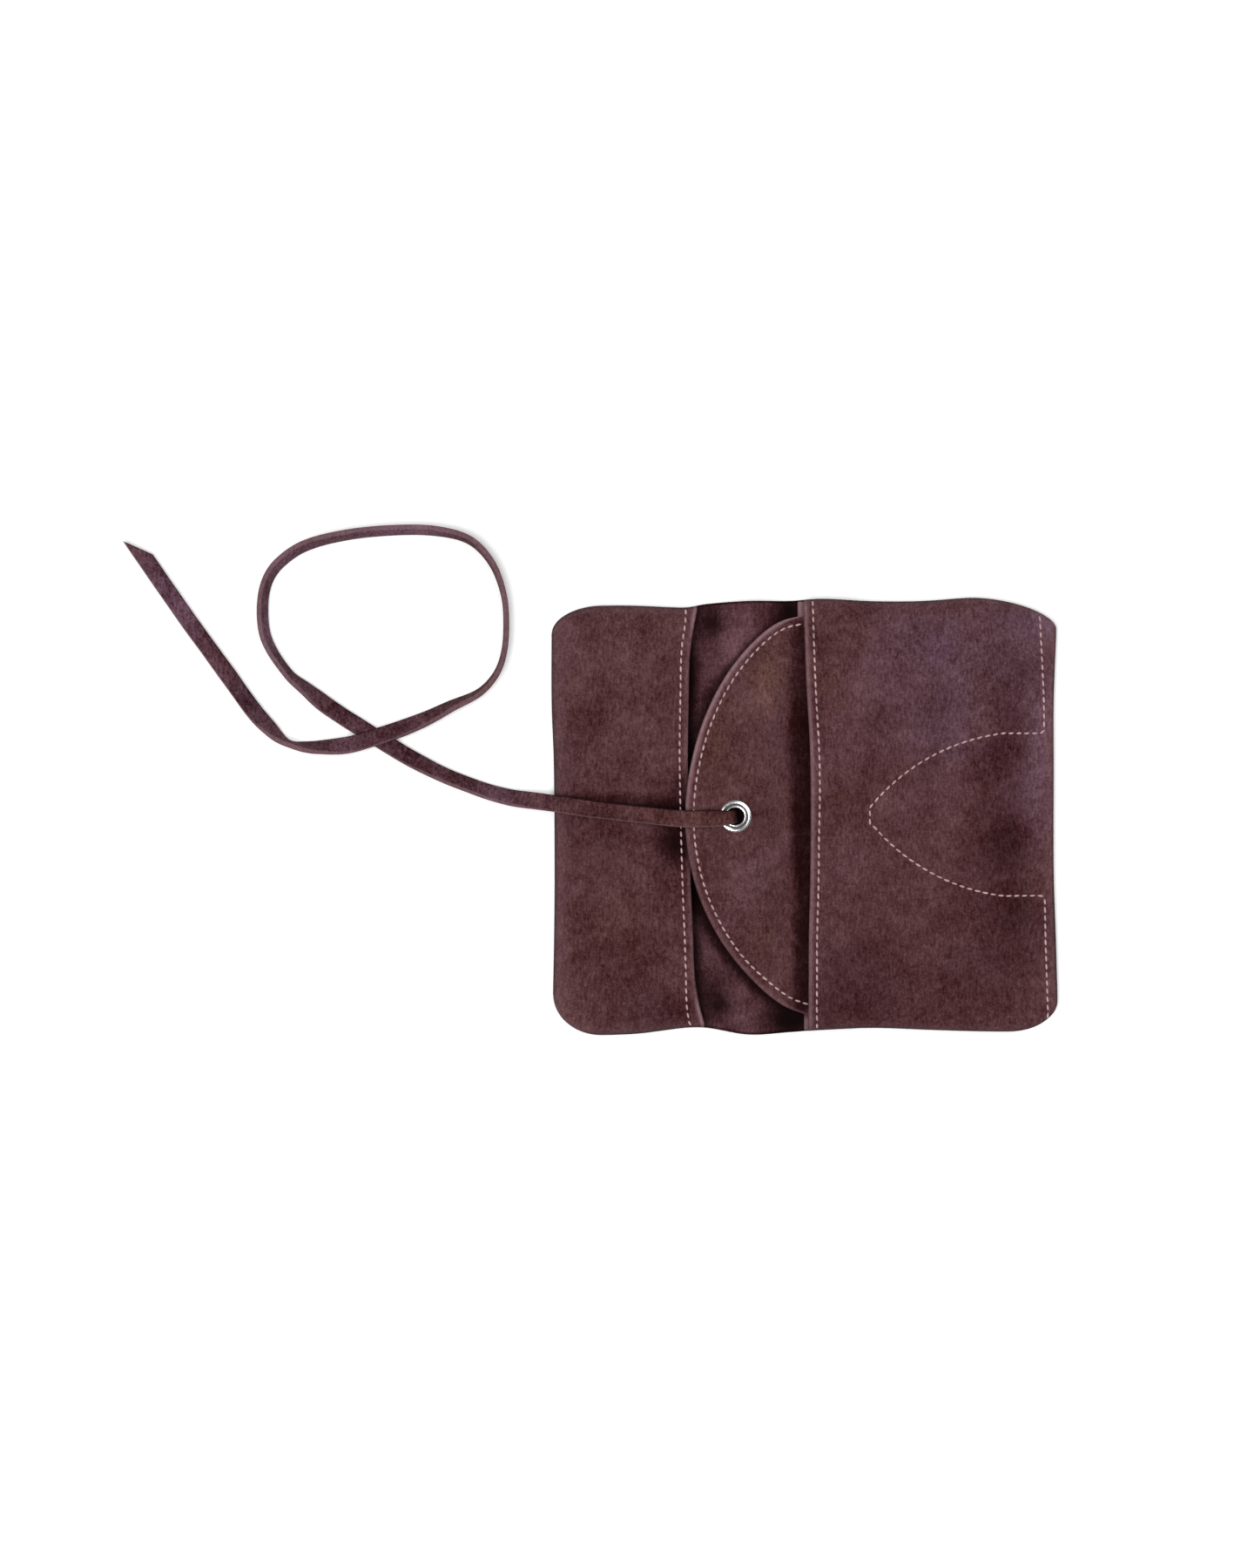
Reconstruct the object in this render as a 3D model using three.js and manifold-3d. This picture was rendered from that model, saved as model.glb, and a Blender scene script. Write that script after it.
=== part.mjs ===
// A suede tobacco pouch lying open, with its tie lace drawn out over the surface it lies on.
// Millimetres, +Z up. The origin is the middle of the pouch's footprint, on that surface, with +X
// along the pouch's width and +Y towards its upper edge.

import * as THREE from 'three';
import { mergeVertices } from 'three/addons/utils/BufferGeometryUtils.js';
import Module from 'manifold-3d';

const { clamp, lerp, smoothstep, degToRad } = THREE.MathUtils;

// Leather thicknesses, and the clearance kept between pieces that touch
const BACK_THICKNESS = 1.8;
const FRONT_THICKNESS = 1.6;
const GAP = 0.3;

// The pouch's long edges, a row for each place along its width, before the corners are rounded off
const LEFT_SIDE = -93.1;
const RIGHT_SIDE = 92.2;
const HALF_LENGTH = 79;
const EDGE_ROWS = [
  { x: -93.1, top: 77.7, bottom: -80.7 },
  { x: -63.0, top: 77.7, bottom: -80.1 },
  { x: -44.0, top: 77.0, bottom: -77.8 },
  { x: -36.0, top: 78.3, bottom: -77.8 },
  { x: -20.8, top: 79.3, bottom: -80.1 },
  { x: -5.4, top: 79.4, bottom: -79.4 },
  { x: 6.1, top: 80.2, bottom: -78.5 },
  { x: 25.3, top: 79.3, bottom: -77.8 },
  { x: 44.5, top: 79.4, bottom: -78.5 },
  { x: 63.7, top: 80.8, bottom: -79.1 },
  { x: 92.2, top: 79.7, bottom: -79.4 },
];

// How far the two short sides bow out (+X) from straight lines, fading within BOW_REACH of the side
const BOW_REACH = 40;
const SIDE_ROWS = [
  { y: 69, left: 0, right: 0 },
  { y: 42, left: 0, right: -1.0 },
  { y: 20, left: 0.8, right: -1.4 },
  { y: -20, left: 1.1, right: -1.2 },
  { y: -45, left: 0.9, right: -0.2 },
  { y: -66, left: 0.5, right: 0.9 },
];

// Rounded corners: how far each reaches along the width, and how far it drops at the side
const CORNERS = {
  upperLeft: { reach: 19, drop: 10.5 },
  lowerLeft: { reach: 18, drop: 15.5 },
  upperRight: { reach: 35, drop: 11 },
  lowerRight: { reach: 18, drop: 11.8 },
};

// The cut edges of the two pocket mouths
const MOUTH_ROWS = [
  { y: 78, left: -39.5, right: -0.6 },
  { y: 62, left: -42.1, right: -0.2 },
  { y: 46, left: -42.6, right: 0.4 },
  { y: 20, left: -42.9, right: 1.75 },
  { y: -20, left: -42.0, right: 1.75 },
  { y: -46, left: -41.0, right: 1.15 },
  { y: -60, left: -40.4, right: 1.15 },
  { y: -70, left: -38.8, right: 1.15 },
  { y: -78, left: -36.7, right: 1.3 },
];

// The back panel's cut edge is rounded, and its middle strip is crowned towards the long edges
const EDGE_ROUND = 0.7;
const CROWN = { from: -36, to: -4, height: 2.0, power: 1.5 };

// Pockets: a turned edge rolls up to EDGE_HEIGHT, then the panel rises to its crest at the mouth. The
// right pocket is sewn flat at its side, and its long edges step down past the flap's root.
const POCKET_BASE = BACK_THICKNESS + GAP;
const EDGE_HEIGHT = 3.4;
const EDGE_ROLL = 4.5;
const END_REACH = 34;
const LEFT_POCKET = { lift: 4.5, sideReach: 40 };
const RIGHT_POCKET = { lift: 4.6, sideReach: 26, seamWidth: 5, seamHeight: 2.1, seamFade: 16 };
const FLAP_STEP = { start: 1, end: 12 };

// Hollows pressed into the pocket panels, a row for each
const LEFT_DENTS = [
  { x: -42, y: 2, depth: 1.7, wide: 14, tall: 46 },
  { x: -48, y: -14, depth: 0.7, wide: 9, tall: 8 },
];
const RIGHT_DENTS = [
  { x: 78, y: 46, depth: 0.7, wide: 12, tall: 10 },
  { x: 74, y: -12, depth: 0.9, wide: 12, tall: 14 },
  { x: 64, y: -54, depth: 0.8, wide: 18, tall: 12 },
];

// The half-moon flap: a round free edge, square shoulders, and a root sewn inside the right pocket. The
// edge's radius is given by the turn from its tip, from the lower shoulder to the upper one.
const FLAP = { centreX: 41.2, centreY: 0.4, root: 16, shoulderSlant: 0.6, inset: 0.5 };
const FLAP_TIP_TURN = 2.5;
const FLAP_RIM_ROWS = [
  { degrees: -60.4, radius: 83.8 },
  { degrees: -55, radius: 85.4 },
  { degrees: -45, radius: 85.5 },
  { degrees: -20, radius: 85.5 },
  { degrees: 0, radius: 85.3 },
  { degrees: 14, radius: 85.4 },
  { degrees: 26, radius: 86.2 },
  { degrees: 38, radius: 87.3 },
  { degrees: 50, radius: 87.9 },
  { degrees: 55, radius: 87.3 },
  { degrees: 59.1, radius: 85.2 },
];
const FLAP_DROOP = { share: 0.7, halfLength: 72, power: 2.2 };
const FLAP_ROWS = [
  { x: -45, rise: 6.95 },
  { x: -24, rise: 6.95 },
  { x: -18, rise: 6.5 },
  { x: -12, rise: 4.2 },
  { x: -6, rise: 1.3 },
  { x: -1, rise: 0 },
  { x: 16, rise: 0 },
];

// The metal eyelet, and the hole it is set in
const EYELET_PLACE = { x: -25.6, y: 0.2 };
const EYELET = { hole: 3.4, wall: 0.4, rim: 6.0, rimHeight: 0.8, washer: 5.2, washerHeight: 0.5 };
const EYELET_SIDES = 28;

// The flat lace, its stopper knot under the eyelet, and the slanting cut at its free end
const LACE = { width: 6.2, thickness: 2.0, cornerSides: 2, clearance: 0.1, climbBias: 0.05 };
const KNOT = { radius: 4.6, height: 4.8, squareness: 0.55, sides: 20, rings: 10 };
const LACE_TIP = { x: -251, y: 101.5, slantX: 8.9, slantY: -4.0 };

// The lace's climb through the eyelet
const LACE_CLIMB = [
  { x: -26.0, y: 0.2, z: 8.3 },
  { x: -26.0, y: 0.2, z: 10.0 },
  { x: -26.4, y: 0.1, z: 11.8 },
  { x: -27.8, y: -0.2, z: 12.9 },
];

// The lace's lying route: what it lies on is at height "on", and "lean" turns it from flat to on edge
const LACE_ROWS = [
  { x: -30.6, y: -0.5, on: 11.95, lean: 0 },
  { x: -44.4, y: -0.7, on: 10.9, lean: 0 },
  { x: -59.8, y: 0.8, on: 9.8, lean: 0 },
  { x: -76.5, y: 2.6, on: 8.6, lean: 0 },
  { x: -88.0, y: 4.3, on: 6.8, lean: 4 },
  { x: -96.0, y: 5.4, on: 3.4, lean: 10 },
  { x: -110.0, y: 7.4, on: 0, lean: 28 },
  { x: -127.4, y: 13.1, on: 0, lean: 40 },
  { x: -142.0, y: 19.9, on: 0, lean: 26 },
  { x: -157.5, y: 29.0, on: 0, lean: 5 },
  { x: -174.7, y: 39.9, on: 0, lean: 10 },
  { x: -185.0, y: 47.8, on: 0, lean: 30 },
  { x: -192.3, y: 55.0, on: 0, lean: 50 },
  { x: -197.6, y: 64.5, on: 0, lean: 66 },
  { x: -199.3, y: 75.0, on: 0, lean: 68 },
  { x: -198.0, y: 85.5, on: 0, lean: 70 },
  { x: -193.6, y: 92.7, on: 0, lean: 68 },
  { x: -184.0, y: 99.4, on: 0, lean: 68 },
  { x: -168.0, y: 103.6, on: 0, lean: 70 },
  { x: -150.0, y: 105.3, on: 0, lean: 71 },
  { x: -135.0, y: 104.9, on: 0, lean: 73 },
  { x: -123.0, y: 101.5, on: 0, lean: 78 },
  { x: -115.0, y: 93.2, on: 0, lean: 82 },
  { x: -110.8, y: 81.0, on: 0, lean: 86 },
  { x: -110.5, y: 67.5, on: 0, lean: 86 },
  { x: -112.5, y: 54.2, on: 0, lean: 84 },
  { x: -119.0, y: 46.2, on: 0, lean: 78 },
  { x: -130.0, y: 40.8, on: 0, lean: 62 },
  { x: -141.0, y: 35.2, on: 1.0, lean: 36 },
  { x: -157.5, y: 29.2, on: 3.1, lean: 12 },
  { x: -168.0, y: 26.4, on: 2.2, lean: 22 },
  { x: -179.0, y: 25.5, on: 0, lean: 48 },
  { x: -188.0, y: 26.4, on: 0, lean: 78 },
  { x: -193.6, y: 29.4, on: 0, lean: 74 },
  { x: -199.0, y: 35.8, on: 0, lean: 34 },
  { x: -212.5, y: 51.2, on: 0, lean: 10 },
  { x: -230.5, y: 74.2, on: 0, lean: 10 },
  { x: -248.4, y: 103.3, on: 0, lean: 10 },
];
const LACE_STEPS_PER_ROW = 2;

// Faces along and across each leather panel
const BACK_GRID = { along: 34, across: 12 };
const LEFT_GRID = { along: 14, across: 22 };
const RIGHT_GRID = { along: 20, across: 22 };
const FLAP_GRID = { round: 18, root: 3, across: 16 };

const SUEDE = new THREE.MeshStandardMaterial({ color: 0x543639, roughness: 0.95, metalness: 0 });
const SUEDE_INSIDE = new THREE.MeshStandardMaterial({ color: 0x593b41, roughness: 0.95, metalness: 0 });
const LACE_SUEDE = new THREE.MeshStandardMaterial({ color: 0x4d3031, roughness: 0.95, metalness: 0 });
const EYELET_METAL = new THREE.MeshStandardMaterial({ color: 0xc8c8cc, roughness: 0.25, metalness: 1 });

// Smooth value of one column of a table, at a place along its key column
function readRow(rows, key, column, place) {
  const last = rows.length - 1;
  const direction = Math.sign(rows[last][key] - rows[0][key]);
  let i = 0;
  while (i < last - 1 && (place - rows[i + 1][key]) * direction > 0) i += 1;
  const slope = (j) => {
    const before = rows[Math.max(j - 1, 0)];
    const after = rows[Math.min(j + 1, last)];
    return (after[column] - before[column]) / (after[key] - before[key]);
  };
  const from = rows[i];
  const to = rows[i + 1];
  const run = to[key] - from[key];
  const t = clamp((place - from[key]) / run, 0, 1);
  const ease = t * t * (3 - 2 * t);
  const leaving = t * (1 - t) * (1 - t) * slope(i) * run;
  const arriving = t * t * (1 - t) * slope(i + 1) * run;
  return lerp(from[column], to[column], ease) + leaving - arriving;
}

// Places from 0 to 1, spaced by an easing function
const spread = (count, easing) => Array.from({ length: count + 1 }, (_, k) => easing(k / count));
const closeAtStart = (s) => 1 - Math.cos((s * Math.PI) / 2);
const closeAtEnd = (s) => Math.sin((s * Math.PI) / 2);
const closeAtBoth = (s) => (1 - Math.cos(s * Math.PI)) / 2;

// Round-over from 0 at an edge to 1 at a full width from it, and the softer rise of a slack panel
const roundOver = (s) => Math.sqrt(1 - (1 - clamp(s, 0, 1)) ** 2);
const slackRise = (s) => Math.sin((clamp(s, 0, 1) * Math.PI) / 2);

function cornerDrop(x, side, corner, inset) {
  const reach = corner.reach - inset;
  const along = clamp(1 - (Math.abs(x - side) - inset) / reach, 0, 1);
  return (corner.drop - inset) * (1 - Math.sqrt(1 - along * along));
}

function topEdge(x, inset) {
  const corners = cornerDrop(x, LEFT_SIDE, CORNERS.upperLeft, inset)
    + cornerDrop(x, RIGHT_SIDE, CORNERS.upperRight, inset);
  return readRow(EDGE_ROWS, 'x', 'top', x) - inset - corners;
}

function bottomEdge(x, inset) {
  const corners = cornerDrop(x, LEFT_SIDE, CORNERS.lowerLeft, inset)
    + cornerDrop(x, RIGHT_SIDE, CORNERS.lowerRight, inset);
  return readRow(EDGE_ROWS, 'x', 'bottom', x) + inset + corners;
}

function sideBow(x, y) {
  const nearLeft = clamp(1 - (x - LEFT_SIDE) / BOW_REACH, 0, 1);
  const nearRight = clamp(1 - (RIGHT_SIDE - x) / BOW_REACH, 0, 1);
  return nearLeft * readRow(SIDE_ROWS, 'y', 'left', y) + nearRight * readRow(SIDE_ROWS, 'y', 'right', y);
}

// A place inside the pouch's outline: across runs from 0 at the bottom edge to 1 at the top edge
function pouchPlace(x, across, inset) {
  const top = topEdge(x, inset);
  const bottom = bottomEdge(x, inset);
  const y = lerp(bottom, top, across);
  return { x: x + sideBow(x, y), y, fromTop: top - y, fromBottom: y - bottom };
}

function dentDepth(rows, x, y) {
  return rows.reduce((sum, dent) => {
    const away = ((x - dent.x) / dent.wide) ** 2 + ((y - dent.y) / dent.tall) ** 2;
    return sum + dent.depth * Math.exp(-away);
  }, 0);
}

// A closed sheet between an upper and a lower face, both given as point(u, v) over the lists of
// places us (towards +X) and vs (towards +Y), with an optional ring of points round the cut edge
function leatherSheet(us, vs, upper, lower, ring) {
  const position = [];
  const index = [];
  const vertex = (point) => position.push(...point) / 3 - 1;
  const grid = (face) => us.map((u) => vs.map((v) => vertex(face(u, v))));
  const quad = (a, b, c, d) => index.push(a, b, c, a, c, d);

  const upperGrid = grid(upper);
  const lowerGrid = grid(lower);
  for (let i = 0; i < us.length - 1; i += 1) {
    for (let j = 0; j < vs.length - 1; j += 1) {
      const [a, b, c, d] = [[i, j], [i + 1, j], [i + 1, j + 1], [i, j + 1]];
      quad(...[a, b, c, d].map(([p, q]) => upperGrid[p][q]));
      quad(...[d, c, b, a].map(([p, q]) => lowerGrid[p][q]));
    }
  }

  const lastU = us.length - 1;
  const lastV = vs.length - 1;
  const loop = [
    ...us.slice(0, lastU).map((_, i) => [i, 0]),
    ...vs.slice(0, lastV).map((_, j) => [lastU, j]),
    ...us.slice(0, lastU).map((_, i) => [lastU - i, lastV]),
    ...vs.slice(0, lastV).map((_, j) => [0, lastV - j]),
  ];
  const hoops = [loop.map(([i, j]) => upperGrid[i][j]), loop.map(([i, j]) => lowerGrid[i][j])];
  if (ring) hoops.splice(1, 0, loop.map(([i, j]) => vertex(ring(us[i], vs[j]))));
  for (let h = 0; h < hoops.length - 1; h += 1) {
    for (let k = 0; k < loop.length; k += 1) {
      const next = (k + 1) % loop.length;
      quad(hoops[h][k], hoops[h + 1][k], hoops[h + 1][next], hoops[h][next]);
    }
  }

  const geometry = new THREE.BufferGeometry();
  geometry.setAttribute('position', new THREE.Float32BufferAttribute(position, 3));
  geometry.setIndex(index);
  return geometry;
}

// Back panel: the whole outline in one piece, with a rounded edge and a crowned middle strip
function crownHeight(x, y) {
  const along = clamp((x - CROWN.from) / (CROWN.to - CROWN.from), 0, 1);
  return CROWN.height * Math.sin(Math.PI * along) ** CROWN.power * (y / HALF_LENGTH) ** 2;
}

function backPanel() {
  const face = (height, inset) => (u, v) => {
    const place = pouchPlace(lerp(LEFT_SIDE + inset, RIGHT_SIDE - inset, u), v, inset);
    return [place.x, place.y, height + crownHeight(place.x, place.y)];
  };
  const upper = face(BACK_THICKNESS, EDGE_ROUND);
  const lower = face(0, EDGE_ROUND);
  const middle = face(BACK_THICKNESS / 2, 0);
  const along = spread(BACK_GRID.along, closeAtBoth);
  return leatherSheet(along, spread(BACK_GRID.across, closeAtBoth), upper, lower, middle);
}

// How far a panel has rolled up from its three turned edges at a place, from 0 to 1
function edgeRoll(place, fromSide, sideRoll, inset) {
  const roll = EDGE_ROLL - inset;
  const ends = roundOver(place.fromTop / roll) * roundOver(place.fromBottom / roll);
  return roundOver(fromSide / sideRoll) * ends;
}

const endRise = (place) => slackRise(place.fromTop / END_REACH) * slackRise(place.fromBottom / END_REACH);

const mouthX = (side, across) => readRow(MOUTH_ROWS, 'y', side, lerp(-HALF_LENGTH, HALF_LENGTH, across));

// Left pocket: low at its turned left edge, standing open along its mouth
function leftPocket() {
  const face = (inset) => (u, v) => {
    const x = lerp(LEFT_SIDE + inset, mouthX('left', v), u);
    const place = pouchPlace(x, v, inset);
    const fromSide = x - LEFT_SIDE - inset;
    const rise = LEFT_POCKET.lift * slackRise(fromSide / LEFT_POCKET.sideReach) * endRise(place);
    const wall = EDGE_HEIGHT - inset + rise - dentDepth(LEFT_DENTS, place.x, place.y);
    return [place.x, place.y, POCKET_BASE + wall * edgeRoll(place, fromSide, EDGE_ROLL - inset, inset)];
  };
  const along = spread(LEFT_GRID.along, closeAtStart);
  return leatherSheet(along, spread(LEFT_GRID.across, closeAtBoth), face(0), face(FRONT_THICKNESS));
}

// Right pocket: sewn flat along its right edge, with its mouth's ends on the flap's shoulders
function rightPocketBase(x) {
  const overFlap = 1 - smoothstep(x, FLAP.root + FLAP_STEP.start, FLAP.root + FLAP_STEP.end);
  return POCKET_BASE + (FRONT_THICKNESS + GAP) * overFlap;
}

function rightPocket() {
  const { lift, sideReach, seamWidth, seamHeight, seamFade } = RIGHT_POCKET;
  const face = (inset) => (u, v) => {
    const x = lerp(mouthX('right', v), RIGHT_SIDE - inset, u);
    const place = pouchPlace(x, v, inset);
    const fromSide = RIGHT_SIDE - inset - x;
    const fromEdge = RIGHT_SIDE - x;
    const base = rightPocketBase(x);
    const rise = (lift + POCKET_BASE - base) * smoothstep(fromEdge, seamWidth, seamWidth + sideReach);
    const edge = lerp(seamHeight, EDGE_HEIGHT, smoothstep(fromEdge, seamWidth, seamWidth + seamFade));
    const wall = edge - inset + rise * endRise(place) - dentDepth(RIGHT_DENTS, place.x, place.y);
    return [place.x, place.y, base + wall * edgeRoll(place, fromSide, seamHeight, inset)];
  };
  const along = spread(RIGHT_GRID.along, closeAtEnd);
  return leatherSheet(along, spread(RIGHT_GRID.across, closeAtBoth), face(0), face(FRONT_THICKNESS));
}

// Flap: columns between its lower and upper edges, along the round edge, then over the square
// shoulders and the root under the right pocket
function rimPoint(degrees) {
  const radius = readRow(FLAP_RIM_ROWS, 'degrees', 'radius', degrees);
  const angle = degToRad(degrees);
  return [FLAP.centreX - radius * Math.cos(angle), FLAP.centreY + radius * Math.sin(angle)];
}

function flapColumns() {
  const lowerEnd = FLAP_RIM_ROWS[0].degrees;
  const upperEnd = FLAP_RIM_ROWS[FLAP_RIM_ROWS.length - 1].degrees;
  const arc = spread(FLAP_GRID.round, (s) => ({
    bottom: rimPoint(lerp(-FLAP_TIP_TURN, lowerEnd, s)),
    top: rimPoint(lerp(FLAP_TIP_TURN, upperEnd, s)),
  }));
  const [lowerX, upperX] = [rimPoint(lowerEnd)[0], rimPoint(upperEnd)[0]];
  const root = spread(FLAP_GRID.root, (s) => {
    const bottomX = lerp(lowerX + FLAP.shoulderSlant, FLAP.root, s);
    const topX = lerp(upperX + FLAP.shoulderSlant, FLAP.root, s);
    return { bottom: [bottomX, bottomEdge(bottomX, FLAP.inset)], top: [topX, topEdge(topX, FLAP.inset)] };
  });
  return [...arc, ...root];
}

function flapRise(x, y) {
  const droop = (Math.abs(y - FLAP.centreY) / FLAP_DROOP.halfLength) ** FLAP_DROOP.power;
  const rise = Math.max(readRow(FLAP_ROWS, 'x', 'rise', x), 0);
  return rise * (1 - FLAP_DROOP.share * Math.min(droop, 1));
}

const FLAP_TOP = POCKET_BASE + FLAP_ROWS[1].rise + FRONT_THICKNESS;

function flapSheet() {
  const face = (height) => (column, v) => {
    const x = lerp(column.bottom[0], column.top[0], v);
    const y = lerp(column.bottom[1], column.top[1], v);
    return [x, y, POCKET_BASE + height + flapRise(x, y)];
  };
  const across = spread(FLAP_GRID.across, closeAtBoth);
  return leatherSheet(flapColumns(), across, face(FRONT_THICKNESS), face(0));
}

// Eyelet: a rolled rim above the flap, a barrel through it and a washer below it, turned in one piece
function eyeletRing() {
  const { hole, wall, rim, rimHeight, washer, washerHeight } = EYELET;
  const seat = FLAP_TOP + GAP;
  const rimTop = seat + rimHeight;
  const washerTop = FLAP_TOP - FRONT_THICKNESS - GAP;
  const foot = washerTop - washerHeight;
  const rimMiddle = (hole + rim) / 2;
  const profile = [
    [hole, foot],
    [washer, foot],
    [washer, washerTop],
    [hole + wall, washerTop],
    [hole + wall, seat],
    [rim - wall, seat],
    [rim, seat + wall],
    [rim - wall, rimTop - wall / 2],
    [rimMiddle, rimTop],
    [hole + wall, rimTop - wall / 2],
    [hole, seat],
    [hole, foot],
  ].map(([radius, height]) => new THREE.Vector2(radius, height));
  return new THREE.LatheGeometry(profile, EYELET_SIDES).rotateX(Math.PI / 2);
}

// Stopper knot: a plain rounded lump under the eyelet
function stopperKnot() {
  const top = FLAP_TOP - FRONT_THICKNESS - EYELET.washerHeight - 2 * GAP;
  const middle = top - KNOT.height / 2;
  const profile = spread(KNOT.rings, (s) => s * Math.PI).map((angle) => {
    const out = Math.max(Math.sin(angle), 0) ** KNOT.squareness;
    const up = -Math.sign(Math.cos(angle)) * Math.abs(Math.cos(angle)) ** KNOT.squareness;
    return new THREE.Vector2(KNOT.radius * out, middle + (KNOT.height / 2) * up);
  });
  profile[0].x = 0;
  profile[KNOT.rings].x = 0;
  return new THREE.LatheGeometry(profile, KNOT.sides).rotateX(Math.PI / 2);
}

// The lace's middle line, with its width direction turned from flat to on edge along the way
class LaceRoute extends THREE.CatmullRomCurve3 {
  constructor() {
    const halfHeight = (lean) => (LACE.width / 2) * Math.sin(lean) + (LACE.thickness / 2) * Math.cos(lean);
    const lying = LACE_ROWS.map(({ x, y, on, lean }) => (
      new THREE.Vector3(x, y, on + LACE.clearance + halfHeight(degToRad(lean)))
    ));
    const climb = LACE_CLIMB.map(({ x, y, z }) => new THREE.Vector3(x, y, z));
    super([...climb, ...lying], false, 'centripetal');
    this.leans = [...climb.map(() => 0), ...LACE_ROWS.map(({ lean }) => degToRad(lean))];
  }

  // Steps follow the rows, so that they are close together where the rows are
  getUtoTmapping(u) {
    return u;
  }

  leanAt(u) {
    const along = u * (this.leans.length - 1);
    const i = Math.min(Math.floor(along), this.leans.length - 2);
    return lerp(this.leans[i], this.leans[i + 1], along - i);
  }

  // Where the lace climbs straight up, the small bias keeps its width along Y
  computeFrenetFrames(steps) {
    const up = new THREE.Vector3(0, 0, 1);
    const sideOfClimb = new THREE.Vector3(0, -LACE.climbBias, 0);
    const frames = { tangents: [], normals: [], binormals: [] };
    for (let k = 0; k <= steps; k += 1) {
      const tangent = this.getTangentAt(k / steps);
      const across = new THREE.Vector3().crossVectors(up, tangent).add(sideOfClimb);
      across.addScaledVector(tangent, -across.dot(tangent)).normalize();
      const normal = across.applyAxisAngle(tangent, this.leanAt(k / steps));
      frames.tangents.push(tangent);
      frames.normals.push(normal);
      frames.binormals.push(new THREE.Vector3().crossVectors(tangent, normal));
    }
    return frames;
  }
}

function laceSection() {
  const radius = LACE.thickness / 2;
  const centre = LACE.width / 2 - radius;
  const section = new THREE.Shape();
  section.absarc(centre, 0, radius, -Math.PI / 2, Math.PI / 2, false);
  section.absarc(-centre, 0, radius, Math.PI / 2, (3 * Math.PI) / 2, false);
  return section;
}

function laceTube() {
  const route = new LaceRoute();
  return new THREE.ExtrudeGeometry(laceSection(), {
    steps: LACE_STEPS_PER_ROW * (route.points.length - 1),
    curveSegments: LACE.cornerSides,
    extrudePath: route,
  });
}

// A block whose one side is the slanting cut at the lace's free end
function tipCutter() {
  const size = 4 * LACE.width;
  const angle = Math.atan2(LACE_TIP.slantY, LACE_TIP.slantX);
  return new THREE.BoxGeometry(size, size, size)
    .translate(0, size / 2, 0)
    .rotateZ(angle)
    .translate(LACE_TIP.x + LACE_TIP.slantX / 2, LACE_TIP.y + LACE_TIP.slantY / 2, 0);
}

// Solid cutting
const MERGE_TOLERANCE = 1e-4;
const wasm = await Module();
wasm.setup();

function toSolid(geometry) {
  const bare = new THREE.BufferGeometry();
  bare.setAttribute('position', geometry.getAttribute('position'));
  bare.setIndex(geometry.getIndex());
  const merged = mergeVertices(bare, MERGE_TOLERANCE);
  return new wasm.Manifold(new wasm.Mesh({
    numProp: 3,
    vertProperties: new Float32Array(merged.getAttribute('position').array),
    triVerts: new Uint32Array(merged.getIndex().array),
  }));
}

function cutAway(geometry, cutter) {
  const { numProp, vertProperties, triVerts } = toSolid(geometry).subtract(toSolid(cutter)).getMesh();
  const cut = new THREE.BufferGeometry();
  cut.setAttribute('position', new THREE.BufferAttribute(vertProperties, numProp));
  cut.setIndex(new THREE.BufferAttribute(triVerts, 1));
  return cut;
}

function eyeletHole() {
  const radius = EYELET.hole + EYELET.wall + GAP;
  return new THREE.CylinderGeometry(radius, radius, 2 * FLAP_TOP, EYELET_SIDES)
    .rotateX(Math.PI / 2)
    .translate(EYELET_PLACE.x, EYELET_PLACE.y, FLAP_TOP);
}

const pouch = new THREE.Group();
pouch.name = 'tobacco_pouch';

function addPiece(name, geometry, material) {
  geometry.computeVertexNormals();
  const piece = new THREE.Mesh(geometry, material);
  piece.name = name;
  pouch.add(piece);
  return piece;
}

addPiece('back_panel', backPanel(), SUEDE_INSIDE);
addPiece('left_pocket', leftPocket(), SUEDE);
addPiece('right_pocket', rightPocket(), SUEDE);
addPiece('flap', cutAway(flapSheet(), eyeletHole()), SUEDE);
addPiece('eyelet', eyeletRing(), EYELET_METAL).position.set(EYELET_PLACE.x, EYELET_PLACE.y, 0);
addPiece('lace_knot', stopperKnot(), LACE_SUEDE).position.set(EYELET_PLACE.x, EYELET_PLACE.y, 0);
addPiece('lace', cutAway(laceTube(), tipCutter()), LACE_SUEDE);

export default pouch;
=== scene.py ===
import math
import random
from bisect import bisect
from collections import namedtuple

import bmesh
import bpy
from mathutils import Matrix, Vector, noise
from mathutils.bvhtree import BVHTree


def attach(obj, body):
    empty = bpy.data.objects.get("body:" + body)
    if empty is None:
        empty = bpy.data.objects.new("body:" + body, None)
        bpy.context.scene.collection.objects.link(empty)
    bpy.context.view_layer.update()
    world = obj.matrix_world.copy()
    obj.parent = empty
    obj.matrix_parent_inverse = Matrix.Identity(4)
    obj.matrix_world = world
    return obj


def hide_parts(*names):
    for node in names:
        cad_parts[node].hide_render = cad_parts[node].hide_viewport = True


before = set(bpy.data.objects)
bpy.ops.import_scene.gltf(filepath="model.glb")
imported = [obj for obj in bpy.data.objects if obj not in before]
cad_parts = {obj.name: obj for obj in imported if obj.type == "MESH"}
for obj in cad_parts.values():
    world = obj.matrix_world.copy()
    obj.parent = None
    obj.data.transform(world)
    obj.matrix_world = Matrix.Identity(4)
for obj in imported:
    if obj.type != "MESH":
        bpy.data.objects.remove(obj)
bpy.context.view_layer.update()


# Back panel: one piece of soft suede under the whole pouch, cut to its rounded outline. The pockets
# are sewn to it along its edges, and its bare middle strip is the fold that the pouch closes on.
BACK_THICKNESS = 0.0018
LEFT_SIDE = -0.0931
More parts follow.
